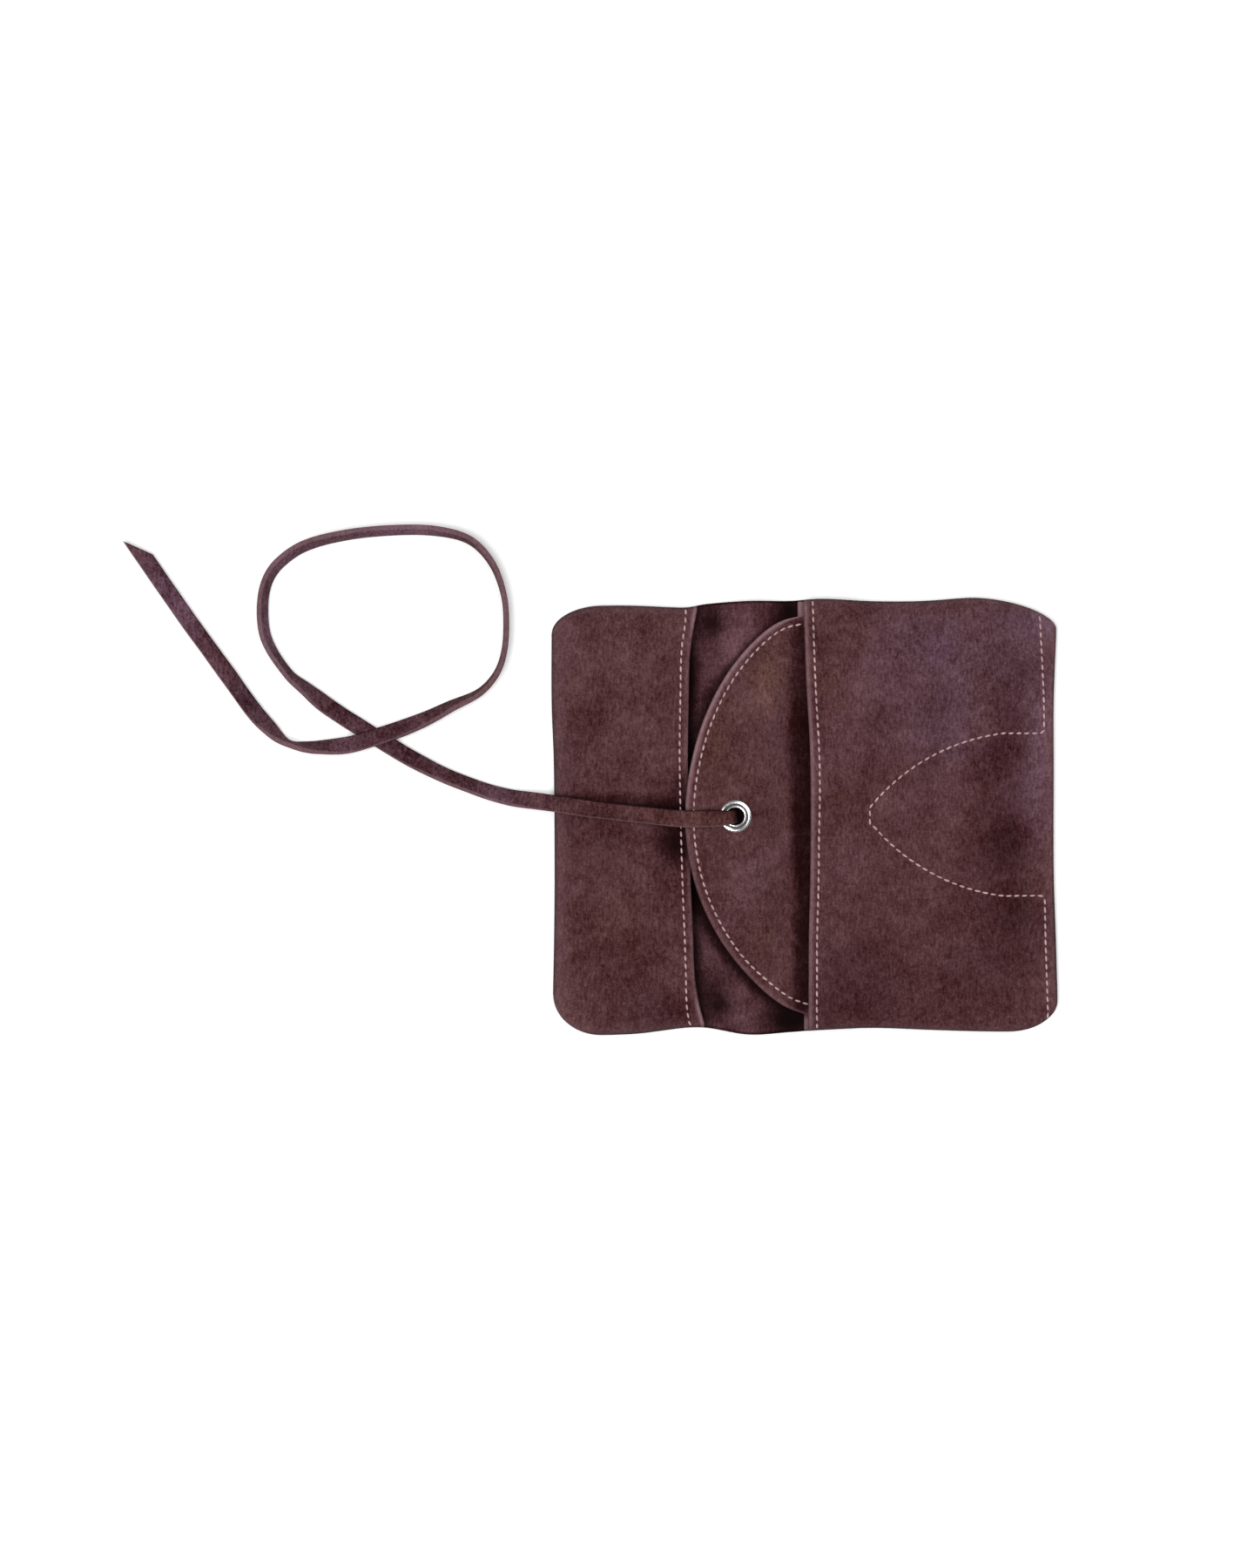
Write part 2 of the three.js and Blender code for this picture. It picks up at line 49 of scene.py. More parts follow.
RIGHT_SIDE = 0.0922
HALF_LENGTH = 0.079
BOW_REACH = 0.040
CROWN_FROM, CROWN_TO, CROWN_HEIGHT, CROWN_POWER = -0.036, -0.004, 0.0020, 1.5

Edge = namedtuple("Edge", "x top bottom")
EDGE_ROWS = [
    Edge(-0.0931, 0.0777, -0.0807),
    Edge(-0.0630, 0.0777, -0.0801),
    Edge(-0.0440, 0.0770, -0.0778),
    Edge(-0.0360, 0.0783, -0.0778),
    Edge(-0.0208, 0.0793, -0.0801),
    Edge(-0.0054, 0.0794, -0.0794),
    Edge(0.0061, 0.0802, -0.0785),
    Edge(0.0253, 0.0793, -0.0778),
    Edge(0.0445, 0.0794, -0.0785),
    Edge(0.0637, 0.0808, -0.0791),
    Edge(0.0922, 0.0797, -0.0794),
]
Bow = namedtuple("Bow", "y left right")
BOW_ROWS = [
    Bow(-0.066, 0.0005, 0.0010),
    Bow(-0.045, 0.0009, 0.0004),
    Bow(-0.020, 0.0011, -0.0004),
    Bow(0.020, 0.0008, -0.0004),
    Bow(0.042, 0.0, -0.0004),
    Bow(0.069, 0.0, 0.0006),
]
Corner = namedtuple("Corner", "side reach drop")
UPPER_CORNERS = [Corner(LEFT_SIDE, 0.0190, 0.0105), Corner(RIGHT_SIDE, 0.0350, 0.0110)]
LOWER_CORNERS = [Corner(LEFT_SIDE, 0.0180, 0.0155), Corner(RIGHT_SIDE, 0.0180, 0.0118)]
Dent = namedtuple("Dent", "x y depth wide tall")
BACK_DENTS = [
    Dent(-0.0330, 0.0715, 0.0005, 0.0035, 0.009),
    Dent(-0.0310, -0.0702, 0.0006, 0.0050, 0.003),
]
Patch = namedtuple("Patch", "x y wide tall shade plum olive")
# The five darker rows are painted shade in the recesses beside the narrow mouth's ends and under the flap's
# shoulders; the two lighter, tinted rows are painted light on the crown of the bare strip near its ends.
BACK_PATCHES = [
    Patch(-0.0055, 0.0755, 0.0065, 0.0065, -0.50, 0.0, 0.0),
    Patch(-0.0050, -0.0750, 0.0090, 0.0060, -0.55, 0.0, 0.0),
    Patch(-0.0340, 0.0715, 0.0045, 0.0065, -0.38, 0.0, 0.0),
    Patch(-0.0330, -0.0670, 0.0065, 0.0070, -0.28, 0.0, 0.0),
    Patch(-0.0312, -0.0700, 0.0036, 0.0026, -0.20, 0.0, 0.0),
    Patch(-0.0215, 0.0680, 0.0075, 0.0090, 0.22, 0.05, 0.1),
    Patch(-0.0200, -0.0690, 0.0060, 0.0070, 0.06, 0.15, 0.0),
]
Grade = namedtuple("Grade", "start end before after")
NEUTRAL_SHADE = 0.5
TURNED_EDGE_SHADE = Grade(0.0003, 0.0012, -0.24, 0)


def clamp(value, low=0.0, high=1.0):
    return min(max(value, low), high)


def lerp(start, end, share):
    return start + (end - start) * share


def smoothstep(place, start, end):
    share = clamp((place - start) / (end - start))
    return share * share * (3 - 2 * share)


def graded(grade, place):
    """A value that passes smoothly from the one before a stretch to the one after it."""
    return lerp(grade.before, grade.after, smoothstep(place, grade.start, grade.end))


def falloff(distance, reach):
    """1 at no distance, about a third at the reach, and nearly nothing at twice the reach."""
    return math.exp(-(distance / reach) ** 2)


def even_places(start, end, count):
    """Places from a start to an end in even steps."""
    return [lerp(start, end, k / count) for k in range(count + 1)]


def round_over(share):
    """A quarter round, from 0 at an edge to 1 at a full width from it."""
    return math.sqrt(1 - (1 - clamp(share)) ** 2)


def slack_rise(share):
    return math.sin(clamp(share) * math.pi / 2)


def smooth_line(rows, key, column):
    """A smooth curve through one column of a table, as a function of a place along its key column."""
    keys = [getattr(row, key) for row in rows]
    values = [getattr(row, column) for row in rows]
    last = len(rows) - 1
    pairs = [(max(i - 1, 0), min(i + 1, last)) for i in range(last + 1)]
    slopes = [(values[b] - values[a]) / (keys[b] - keys[a]) for a, b in pairs]

    def value_at(place):
        i = min(max(bisect(keys, place) - 1, 0), last - 1)
        run = keys[i + 1] - keys[i]
        t = clamp((place - keys[i]) / run)
        eased = lerp(values[i], values[i + 1], t * t * (3 - 2 * t))
        return eased + run * t * (1 - t) * ((1 - t) * slopes[i] - t * slopes[i + 1])

    return value_at


upper_line = smooth_line(EDGE_ROWS, "x", "top")
lower_line = smooth_line(EDGE_ROWS, "x", "bottom")
left_bow = smooth_line(BOW_ROWS, "y", "left")
right_bow = smooth_line(BOW_ROWS, "y", "right")


def corner_drop(x, corners):
    """How far the rounded corners pull a long edge in, at a place along the width."""
    along = [clamp(1 - abs(x - corner.side) / corner.reach) for corner in corners]
    return sum(corner.drop * (1 - math.sqrt(1 - a * a)) for corner, a in zip(corners, along))


def top_edge(x):
    return upper_line(x) - corner_drop(x, UPPER_CORNERS)


def bottom_edge(x):
    return lower_line(x) + corner_drop(x, LOWER_CORNERS)


def bowed(x, y):
    """A place's x once the two short sides have bowed."""
    near_left = clamp(1 - (x - LEFT_SIDE) / BOW_REACH)
    near_right = clamp(1 - (RIGHT_SIDE - x) / BOW_REACH)
    return x + near_left * left_bow(y) + near_right * right_bow(y)


def closeness(spot, x, y):
    return falloff(x - spot.x, spot.wide) * falloff(y - spot.y, spot.tall)


def dent_depth(dents, x, y):
    return sum(dent.depth * closeness(dent, x, y) for dent in dents)


def suede_tone(patches, x, y, pale_share=0.0, shade=0.0):
    """How dark, rubbed, plum and olive the suede is at a place, as one colour attribute value."""
    tone = Vector((NEUTRAL_SHADE + shade, pale_share, 0, 0))
    for patch in patches:
        tone += closeness(patch, x, y) * Vector((patch.shade, 0, patch.plum, patch.olive))
    return tone


def edge_shade(*distances):
    """The dark line where an edge turns down, out of the light."""
    return graded(TURNED_EDGE_SHADE, min(distances))


def roll_steps(roll, count):
    """Distances from an edge that follow a quarter round in even steps."""
    return [roll * (1 - math.cos(share * math.pi / 2)) for share in even_places(0, 1, count)]


def spaced(start, end, step):
    """Evenly spaced distances from a start up to an end, which is left out."""
    return even_places(start, end, round((end - start) / step))[:-1]


def places(near, far, count):
    """Places across a panel, each a share of the way and a distance, closer together near its edges."""
    inner = [(share, lerp(near[-1], -far[-1], share)) for share in even_places(0, 1, count)[1:-1]]
    return [(0, d) for d in near] + inner + [(1, -d) for d in reversed(far)]


def place_between(start, end, place):
    share, distance = place
    return lerp(start, end, share) + distance


def leather_sheet(columns, rows, upper_face, thickness, hole=None):
    """A closed, soft-edged leather sheet below an upper face, which gives a point and its tone."""
    bm = bmesh.new()
    tone_layer = bm.verts.layers.float_color.new("suede_tone")
    across, along = len(columns) - 1, len(rows) - 1
    bmesh.ops.create_grid(bm, x_segments=across, y_segments=along, size=0.5)
    for vert in bm.verts:
        column = columns[round((vert.co.x + 0.5) * across)]
        row = rows[round((vert.co.y + 0.5) * along)]
        vert.co, vert[tone_layer] = upper_face(column, row)
    if hole:
        hole(bm)
    bm.normal_update()
    bmesh.ops.solidify(bm, geom=bm.faces[:], thickness=thickness)
    return bm


def new_object(name, bm, material):
    """An object at the origin with the worked shape and one material."""
    mesh = bpy.data.meshes.new(name)
    bm.to_mesh(mesh)
    bm.free()
    mesh.materials.append(material)
    made = bpy.data.objects.new(name, mesh)
    bpy.context.scene.collection.objects.link(made)
    return made


def finished_piece(name, bm, material, subdivisions=0):
    """A smooth-shaded piece of the pouch, riding on its one body."""
    for face in bm.faces:
        face.smooth = True
    piece = new_object(name, bm, material)
    if subdivisions:
        softening = piece.modifiers.new("softening", "SUBSURF")
        softening.levels = subdivisions
        softening.render_levels = subdivisions
    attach(piece, "root")
    return piece


def give_inputs(tree, node, inputs):
    """Sets a node's inputs, each given as a value or as a socket to link."""
    for name, value in inputs.items():
        if isinstance(value, bpy.types.NodeSocket):
            tree.links.new(value, node.inputs[name])
        else:
            node.inputs[name].default_value = value


def add_node(tree, kind, inputs, **settings):
    """A node with its settings and its inputs."""
    node = tree.nodes.new(kind)
    for name, value in settings.items():
        setattr(node, name, value)
    give_inputs(tree, node, inputs)
    return node


def worked_out(tree, operation, *values, clamped=False):
    """A value worked out from others by one math node."""
    inputs = dict(enumerate(values))
    return add_node(tree, "ShaderNodeMath", inputs, operation=operation, use_clamp=clamped).outputs[0]


def grain_of(tree, coords, size, detail=2):
    """Even noise with grains of that size in metres, centred on zero."""
    grains = add_node(tree, "ShaderNodeTexNoise", {"Vector": coords, "Scale": 1 / size, "Detail": detail})
    return worked_out(tree, "SUBTRACT", grains.outputs["Fac"], 0.5)


def weighted_sum(tree, start, terms):
    """A starting value plus each socket times its weight."""
    total = start
    for value, weight in terms:
        total = worked_out(tree, "MULTIPLY_ADD", value, weight, total)
    return total


def mixed_colour(tree, share, start, end):
    """A colour between two others, which are the mix node's inputs 6 and 7."""
    mix = add_node(tree, "ShaderNodeMix", {"Factor": share, 6: start, 7: end}, data_type="RGBA")
    return mix.outputs[2]


CLOUD_SIZE, BLOTCH_SIZE, DRIFT_SIZE = 0.016, 0.0045, 0.024
TUFT_SIZE, STROKE_SIZE, FLECK_SIZE, FIBRE_SIZE = 0.0010, 0.0009, 0.0007, 0.00042
BRUSHING = (1.0, 0.35, 1.0)
BLOTCH_WEIGHT = 0.5
TUFT_WEIGHT, STROKE_WEIGHT, FIBRE_WEIGHT, FLECK_WEIGHT = 0.6, 0.7, 0.55, 1.4
FLECK_FLOOR = 0.2
PALENESS_POWER = 1.6
PLUM_DRIFT, OLIVE_DRIFT = 0.5, -0.9
NAP_LEVEL, NAP_TUFTS, NAP_FIBRES, NAP_CLOUDS = 0.5, 0.7, 0.5, 0.4
NAP_ROUGHNESS, TUFT_ROUGHNESS = 0.9, 0.25


def suede_nap_group():
    """Brushed suede: mottled browns, a short nap, plum and olive patches, rubbed edges, painted light and
    shade.
    """
    tree = bpy.data.node_groups.new("suede_nap", "ShaderNodeTree")
    for name in ("Deep", "Dark", "Light", "Rubbed", "Plum", "Olive"):
        tree.interface.new_socket(name, in_out="INPUT", socket_type="NodeSocketColor")
    for name in ("Mottle", "Speckle"):
        tree.interface.new_socket(name, in_out="INPUT", socket_type="NodeSocketFloat")
    tree.interface.new_socket("Colour", in_out="OUTPUT", socket_type="NodeSocketColor")
    for name in ("Nap", "Roughness"):
        tree.interface.new_socket(name, in_out="OUTPUT", socket_type="NodeSocketFloat")
    given = tree.nodes.new("NodeGroupInput").outputs
    coords = tree.nodes.new("ShaderNodeTexCoord").outputs["Object"]
    tone = add_node(tree, "ShaderNodeAttribute", {}, attribute_name="suede_tone")
    parts = add_node(tree, "ShaderNodeSeparateColor", {"Color": tone.outputs["Color"]})
    shade, pale_share, plum = (parts.outputs[i] for i in range(3))

    clouds = grain_of(tree, coords, CLOUD_SIZE)
    blotches = grain_of(tree, coords, BLOTCH_SIZE)
    drift = grain_of(tree, coords, DRIFT_SIZE)
    tufts = grain_of(tree, coords, TUFT_SIZE)
    fibres = grain_of(tree, coords, FIBRE_SIZE, detail=1)
    brushed = add_node(tree, "ShaderNodeMapping", {"Vector": coords, "Scale": BRUSHING})
    strokes = grain_of(tree, brushed.outputs["Vector"], STROKE_SIZE)
    specks = grain_of(tree, coords, FLECK_SIZE, detail=1)
    flecks = worked_out(tree, "SUBTRACT", specks, FLECK_FLOOR, clamped=True)
    mottled = weighted_sum(tree, clouds, [(blotches, BLOTCH_WEIGHT)])
    brushwork = weighted_sum(tree, 0.0, [(tufts, TUFT_WEIGHT), (strokes, STROKE_WEIGHT)])
    speckled = weighted_sum(tree, brushwork, [(fibres, FIBRE_WEIGHT), (flecks, FLECK_WEIGHT)])
    lightness = weighted_sum(tree, shade, [(mottled, given["Mottle"]), (speckled, given["Speckle"])])
    lightness.node.use_clamp = True
    paleness = worked_out(tree, "POWER", lightness, PALENESS_POWER)
    plum_share = weighted_sum(tree, plum, [(drift, PLUM_DRIFT)])
    olive_share = weighted_sum(tree, tone.outputs["Alpha"], [(drift, OLIVE_DRIFT)])
    hue = mixed_colour(tree, plum_share, given["Light"], given["Plum"])
    hue = mixed_colour(tree, olive_share, hue, given["Olive"])
    brown = mixed_colour(tree, paleness, given["Dark"], hue)
    wear_and_light = weighted_sum(tree, pale_share, [(speckled, pale_share)])
    rubbed = mixed_colour(tree, wear_and_light, brown, given["Rubbed"])
    # Painted shade: below the neutral shade, the colour mixes towards the deep shade colour.
    unshaded_share = worked_out(tree, "DIVIDE", shade, NEUTRAL_SHADE, clamped=True)
    shaded = mixed_colour(tree, unshaded_share, given["Deep"], rubbed)
    nap = weighted_sum(tree, NAP_LEVEL, [(tufts, NAP_TUFTS), (fibres, NAP_FIBRES), (clouds, NAP_CLOUDS)])
    roughness = weighted_sum(tree, NAP_ROUGHNESS, [(tufts, TUFT_ROUGHNESS)])
    out = tree.nodes.new("NodeGroupOutput")
    give_inputs(tree, out, {"Colour": shaded, "Nap": nap, "Roughness": roughness})
    return tree


SUEDE_NAP = suede_nap_group()
DEEP_SHADE = (0.0040, 0.0008, 0.0010)
SHEEN_TINT = (0.75, 0.55, 0.56, 1)
SHEEN_WEIGHT, SHEEN_ROUGHNESS = 0.012, 0.6
SUEDE_SPECULAR = 0.06


def new_material(name):
    """A material with its node tree and its main shader."""
    material = bpy.data.materials.new(name)
    material.use_nodes = True
    return material, material.node_tree, material.node_tree.nodes["Principled BSDF"]


def suede_material(name, dark, light, rubbed, plum, olive, mottle, speckle, nap_height):
    """A suede finish: the nap group's colours and bump under a soft sheen."""
    material, tree, shader = new_material(name)
    nap = add_node(tree, "ShaderNodeGroup", {"Mottle": mottle, "Speckle": speckle}, node_tree=SUEDE_NAP)
    browns = {"Deep": DEEP_SHADE, "Dark": dark, "Light": light}
    tints = {"Rubbed": rubbed, "Plum": plum, "Olive": olive}
    give_inputs(tree, nap, {socket: (*colour, 1) for socket, colour in {**browns, **tints}.items()})
    bump_inputs = {"Height": nap.outputs["Nap"], "Distance": nap_height, "Strength": 1.0}
    bump = add_node(tree, "ShaderNodeBump", bump_inputs)
    give_inputs(tree, shader, {
        "Base Color": nap.outputs["Colour"],
        "Roughness": nap.outputs["Roughness"],
        "Normal": bump.outputs["Normal"],
        "Specular IOR Level": SUEDE_SPECULAR,
        "Sheen Weight": SHEEN_WEIGHT,
        "Sheen Roughness": SHEEN_ROUGHNESS,
        "Sheen Tint": SHEEN_TINT,
    })
    return material


INNER_SUEDE = suede_material(
    "inner_suede",
    dark=(0.030, 0.006, 0.008), light=(0.190, 0.093, 0.107), rubbed=(0.19, 0.11, 0.12),
    plum=(0.185, 0.096, 0.146), olive=(0.200, 0.110, 0.073),
    mottle=0.85, speckle=0.95, nap_height=0.00010,
)


def crown_height(x, y):
    along = clamp((x - CROWN_FROM) / (CROWN_TO - CROWN_FROM))
    return CROWN_HEIGHT * math.sin(math.pi * along) ** CROWN_POWER * (y / HALF_LENGTH) ** 2


def back_face(column, row):
    x = place_between(LEFT_SIDE, RIGHT_SIDE, column)
    top, bottom = top_edge(x), bottom_edge(x)
    y = place_between(bottom, top, row)
    crown = max(crown_height(x, y) - dent_depth(BACK_DENTS, x, y), 0)
    shade = edge_shade(x - LEFT_SIDE, RIGHT_SIDE - x, top - y, y - bottom)
    return Vector((bowed(x, y), y, BACK_THICKNESS + crown)), suede_tone(BACK_PATCHES, x, y, shade=shade)


# The sheet's columns are distances from its left side, close together at the edges and on the bare strip.
BACK_EDGE = [0, 0.0004, 0.0012, 0.0024, 0.0042]
COLUMNS_FROM, STRIP_FROM, STRIP_TO, COLUMNS_TO = 0.010, 0.047, 0.099, 0.180
BROAD_STEP, STRIP_STEP = 0.006, 0.0012
BACK_ROWS = 76
from_left = [
    *BACK_EDGE,
    *spaced(COLUMNS_FROM, STRIP_FROM, BROAD_STEP),
    *spaced(STRIP_FROM, STRIP_TO, STRIP_STEP),
    *spaced(STRIP_TO, COLUMNS_TO, BROAD_STEP),
]
back_columns = [(0, d) for d in from_left] + [(1, -d) for d in reversed(BACK_EDGE)]
back_rows = places(BACK_EDGE, BACK_EDGE, BACK_ROWS)
back = finished_piece(
    "back_panel_suede",
    leather_sheet(back_columns, back_rows, back_face, BACK_THICKNESS),
    INNER_SUEDE, subdivisions=1,
)
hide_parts("back_panel")


# Flap: a half-moon of the outer suede that closes over the folded pouch. Its straight root and square
# shoulders are sewn in between the back panel and the wide pocket, and its round edge is left raw.
FRONT_THICKNESS = 0.0016
PANEL_GAP = 0.0003
POCKET_BASE = BACK_THICKNESS + PANEL_GAP
FLAP_CENTRE = Vector((0.0412, 0.0004))
Rim = namedtuple("Rim", "degrees radius")
FLAP_RIM_ROWS = [
    Rim(-60.4, 0.0838),
    Rim(-55, 0.0854),
    Rim(-45, 0.0855),
    Rim(-20, 0.0855),
    Rim(0, 0.0853),
    Rim(14, 0.0854),
    Rim(26, 0.0862),
    Rim(38, 0.0873),
    Rim(50, 0.0879),
    Rim(55, 0.0873),
    Rim(59.1, 0.0852),
]
FLAP_SEAM_INSET = 0.0005
FLAP_ROOT = 0.016
DROOP_SHARE, DROOP_LENGTH, DROOP_POWER = 0.7, 0.072, 2.2
Rise = namedtuple("Rise", "x rise")
FLAP_ROWS = [
    Rise(-0.045, 0.00695),
    Rise(-0.024, 0.00695),
    Rise(-0.018, 0.0065),
    Rise(-0.012, 0.0042),
    Rise(-0.006, 0.0013),
    Rise(-0.001, 0.0),
    Rise(0.016, 0.0),
]
# The last row is painted light on the flap's slope down to its root, which faces away from the key light.
FLAP_PATCHES = [
    Patch(-0.0154, 0.0527, 0.0070, 0.0130, 0.06, 0.0, 0.45),
    Patch(-0.0340, 0.0230, 0.0060, 0.0140, 0.05, 0.0, 0.40),
    Patch(-0.0220, -0.0250, 0.0120, 0.0240, 0.08, 0.15, 0.0),
    Patch(-0.0220, 0.0250, 0.0120, 0.0240, 0.05, 0.0, 0.1),
    Patch(-0.0090, 0.0, 0.0050, 0.0600, 0.16, 0.0, 0.0),
]
EYELET_PLACE = Vector((-0.0256, 0.0002))
EYELET_HOLE = 0.0034
EYELET_WALL = 0.0004
FLAP_STITCH_INSET = 0.0032
STITCH_DIP, STITCH_DIP_WIDTH = 0.00022, 0.0010
CUT_WEAR_PLACE, CUT_WEAR_WIDTH = 0.0008, 0.0007
# The raw cut edge is pale, and paler along the upper half of the rim: painted light where that side catches
# the light.
FLAP_CUT_RUB_AND_LIGHT = Grade(-0.010, 0.025, 0.26, 0.95)
TAB_RUB, TAB_END = Grade(0.0730, 0.0742, 0, 0.60), 0.0020
RIM_CORNER_STEP, RIM_CORNER_RUN, RIM_STEP = 0.3, 1.2, 2.0
SQUARE_TURN = 9
SHOULDER_SHARES = (0.1, 0.4, 0.8, 1.0)
flap_lift = smooth_line(FLAP_ROWS, "x", "rise")
rim_radius = smooth_line(FLAP_RIM_ROWS, "degrees", "radius")


def stitch_dip(distance):
    """How far a row of stitches pulls the suede down, at a distance from the row."""
    return STITCH_DIP * falloff(distance, STITCH_DIP_WIDTH)


def cut_wear(distance):
    """How pale the raw cut edge is, at a distance in from it."""
    return falloff(distance - CUT_WEAR_PLACE, CUT_WEAR_WIDTH)


def rim_point(degrees, inset=0.0):
    angle = math.radians(degrees)
    return FLAP_CENTRE + (rim_radius(degrees) - inset) * Vector((-math.cos(angle), math.sin(angle)))


def flap_edge_rows():
    """Rows along the round edge and the two shoulders: a point on the edge and the way inwards."""
    low, high = FLAP_RIM_ROWS[0].degrees, FLAP_RIM_ROWS[-1].degrees
    broad_low, broad_high = low + RIM_CORNER_RUN, high - RIM_CORNER_RUN
    turns = [low, low + RIM_CORNER_STEP, *spaced(broad_low, broad_high, RIM_STEP),
             broad_high, high - RIM_CORNER_STEP, high]
    rows = []
    for degrees in turns:
        square = 1 - smoothstep(min(degrees - low, high - degrees), 0, SQUARE_TURN)
        inward = (FLAP_CENTRE - rim_point(degrees)).normalized().lerp(Vector((1, 0)), square)
        rows.append((rim_point(degrees), inward.normalized()))
    for end, seam in ((0, bottom_edge), (-1, top_edge)):
        corner = rows[end][0]
        tip = Vector((corner.x, seam(corner.x) - math.copysign(FLAP_SEAM_INSET, corner.y)))
        for share in SHOULDER_SHARES:
            rows.insert(0 if end == 0 else len(rows), (corner.lerp(tip, share), Vector((1, 0))))
    return rows


def flap_rise(x, y):
    droop = min((abs(y - FLAP_CENTRE.y) / DROOP_LENGTH) ** DROOP_POWER, 1)
    return max(flap_lift(x), 0) * (1 - DROOP_SHARE * droop)


def flap_face(column, row):
    edge, inward = row
    share, distance = column
    rim = edge + distance * inward
    x, y = rim.lerp(Vector((FLAP_ROOT, edge.y)), share)
    low, high = bottom_edge(x) + FLAP_SEAM_INSET, top_edge(x) - FLAP_SEAM_INSET
    y = clamp(y, low, high)
    on_rim = share == 0
    dip = stitch_dip(distance - FLAP_STITCH_INSET) if on_rim else 0
    covered = smoothstep(x, TAB_END, 2 * TAB_END)
    tab = graded(TAB_RUB, abs(y)) * (1 - covered)
    cut = graded(FLAP_CUT_RUB_AND_LIGHT, y) * cut_wear(distance) if on_rim else 0
    pale_share = max(cut, tab)
    height = POCKET_BASE + FRONT_THICKNESS + flap_rise(x, y) - dip
    shade = covered * edge_shade(high - y, y - low)
    return Vector((x, y, height)), suede_tone(FLAP_PATCHES, x, y, pale_share, shade)


def eyelet_hole(bm):
    """Opens the flap round the eyelet's barrel."""
    radius = EYELET_HOLE + EYELET_WALL + PANEL_GAP
    inside = [f for f in bm.faces if (f.calc_center_median().xy - EYELET_PLACE).length < radius]
    bmesh.ops.delete(bm, geom=inside, context="FACES")
    for vert in bm.verts:
        away = vert.co.xy - EYELET_PLACE
        if vert.is_boundary and away.length < 2 * radius:
            vert.co.xy = EYELET_PLACE + radius * away.normalized()


OUTER_SUEDE = suede_material(
    "outer_suede",
    dark=(0.026, 0.0015, 0.002), light=(0.167, 0.080, 0.088), rubbed=(0.25, 0.145, 0.16),
    plum=(0.178, 0.104, 0.146), olive=(0.206, 0.107, 0.074),
    mottle=0.65, speckle=1.0, nap_height=0.00018,
)
FLAP_RIM = [0, 0.0004, 0.0009, 0.0015, 0.0023, 0.0033, 0.0045, 0.0062]
FLAP_COLUMNS = 14
broad_columns = [(share, FLAP_RIM[-1]) for share in even_places(0, 1, FLAP_COLUMNS)[1:]]
flap_columns = [(0, d) for d in FLAP_RIM] + broad_columns
flap = finished_piece(
    "flap_suede",
    leather_sheet(flap_columns, flap_edge_rows(), flap_face, FRONT_THICKNESS, eyelet_hole),
    OUTER_SUEDE, subdivisions=2,
)

DARKEST = 0.03
FLAP_SHADE = Grade(-0.030, 0.030, 0.60, 0.80)
FLAP_SHADE_UPPER_REACH = Grade(0.045, 0.060, 0.0034, 0.0014)
FLAP_SHADE_LOWER_REACH = 0.0030


def paint_shade(piece, shade_at):
    """Painted shade on a piece where another lies close over it."""
    tones = piece.data.attributes["suede_tone"].data
    for vert, tone in zip(piece.data.vertices, tones):
        depth = clamp(1 - shade_at(vert.co.x, vert.co.y), DARKEST)
        tone.color = (tone.color[0] * depth, *tone.color[1:])


def beyond_rim(x, y):
    away = Vector((x, y)) - FLAP_CENTRE
    return max(away.length - rim_radius(math.degrees(math.atan2(away.y, -away.x))), 0)


def shade_beside_flap(x, y):
    lower = smoothstep(-y, FLAP_SHADE.start, FLAP_SHADE.end)
    reach = lerp(graded(FLAP_SHADE_UPPER_REACH, y), FLAP_SHADE_LOWER_REACH, lower)
    return graded(FLAP_SHADE, -y) * falloff(beyond_rim(x, y), reach)


paint_shade(back, shade_beside_flap)
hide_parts("flap")


# Eyelet: a nickel-plated tube set through the flap. Its upper end is rolled into a broad rim with a
# groove round it, and its lower end is spread over a washer against the flap's inner face.
EYELET_RIM = 0.0060
EYELET_WASHER = 0.0052
RIM_HEIGHT = 0.0008
WASHER_HEIGHT = 0.0005
EYELET_STEPS = 64
EYELET_BORE = 0.0029
ROLL_RADIUS = 0.00068
GROOVE = EYELET_BORE + 2 * ROLL_RADIUS
FLANGE_SHARE = 0.75
FOOT_ROUND = 0.0003
Arc = namedtuple("Arc", "start end steps")
INNER_ARC, OUTER_ARC, FOOT_ARC = Arc(180, 20, 10), Arc(155, 0, 14), Arc(60, -90, 5)
MERGE_DISTANCE = 1e-6
GROOVE_SHADE_WIDTH, BELOW_RIM_SHADE = 0.00026, 0.3
PLATE_DULL, PLATE_BRIGHT = (0.62, 0.60, 0.60, 1), (0.88, 0.86, 0.87, 1)
GROOVE_SHADE_COLOUR = (0.045, 0.030, 0.032, 1)
SCRATCH_SIZE, SCRATCH_DETAIL, SCRATCH_DEPTH = 0.0006, 5, 0.00002
PLATE_CLOUD_SIZE = 0.0030
SCRATCH_WEIGHT = 0.4
PLATE_ROUGHNESS, SCRATCH_ROUGHNESS, GROOVE_ROUGHNESS = 0.18, 0.25, 0.5
flap_top = POCKET_BASE + FLAP_ROWS[1].rise + FRONT_THICKNESS
rim_seat = flap_top + PANEL_GAP
washer_top = flap_top - FRONT_THICKNESS - PANEL_GAP


def arc_points(centre_radius, centre_height, radius, height, arc):
    """Points of an arc in the eyelet's section, from its start to its end angle in degrees."""
    angles = [math.radians(degrees) for degrees in even_places(arc.start, arc.end, arc.steps)]
    return [(centre_radius + radius * math.cos(a), centre_height + height * math.sin(a)) for a in angles]


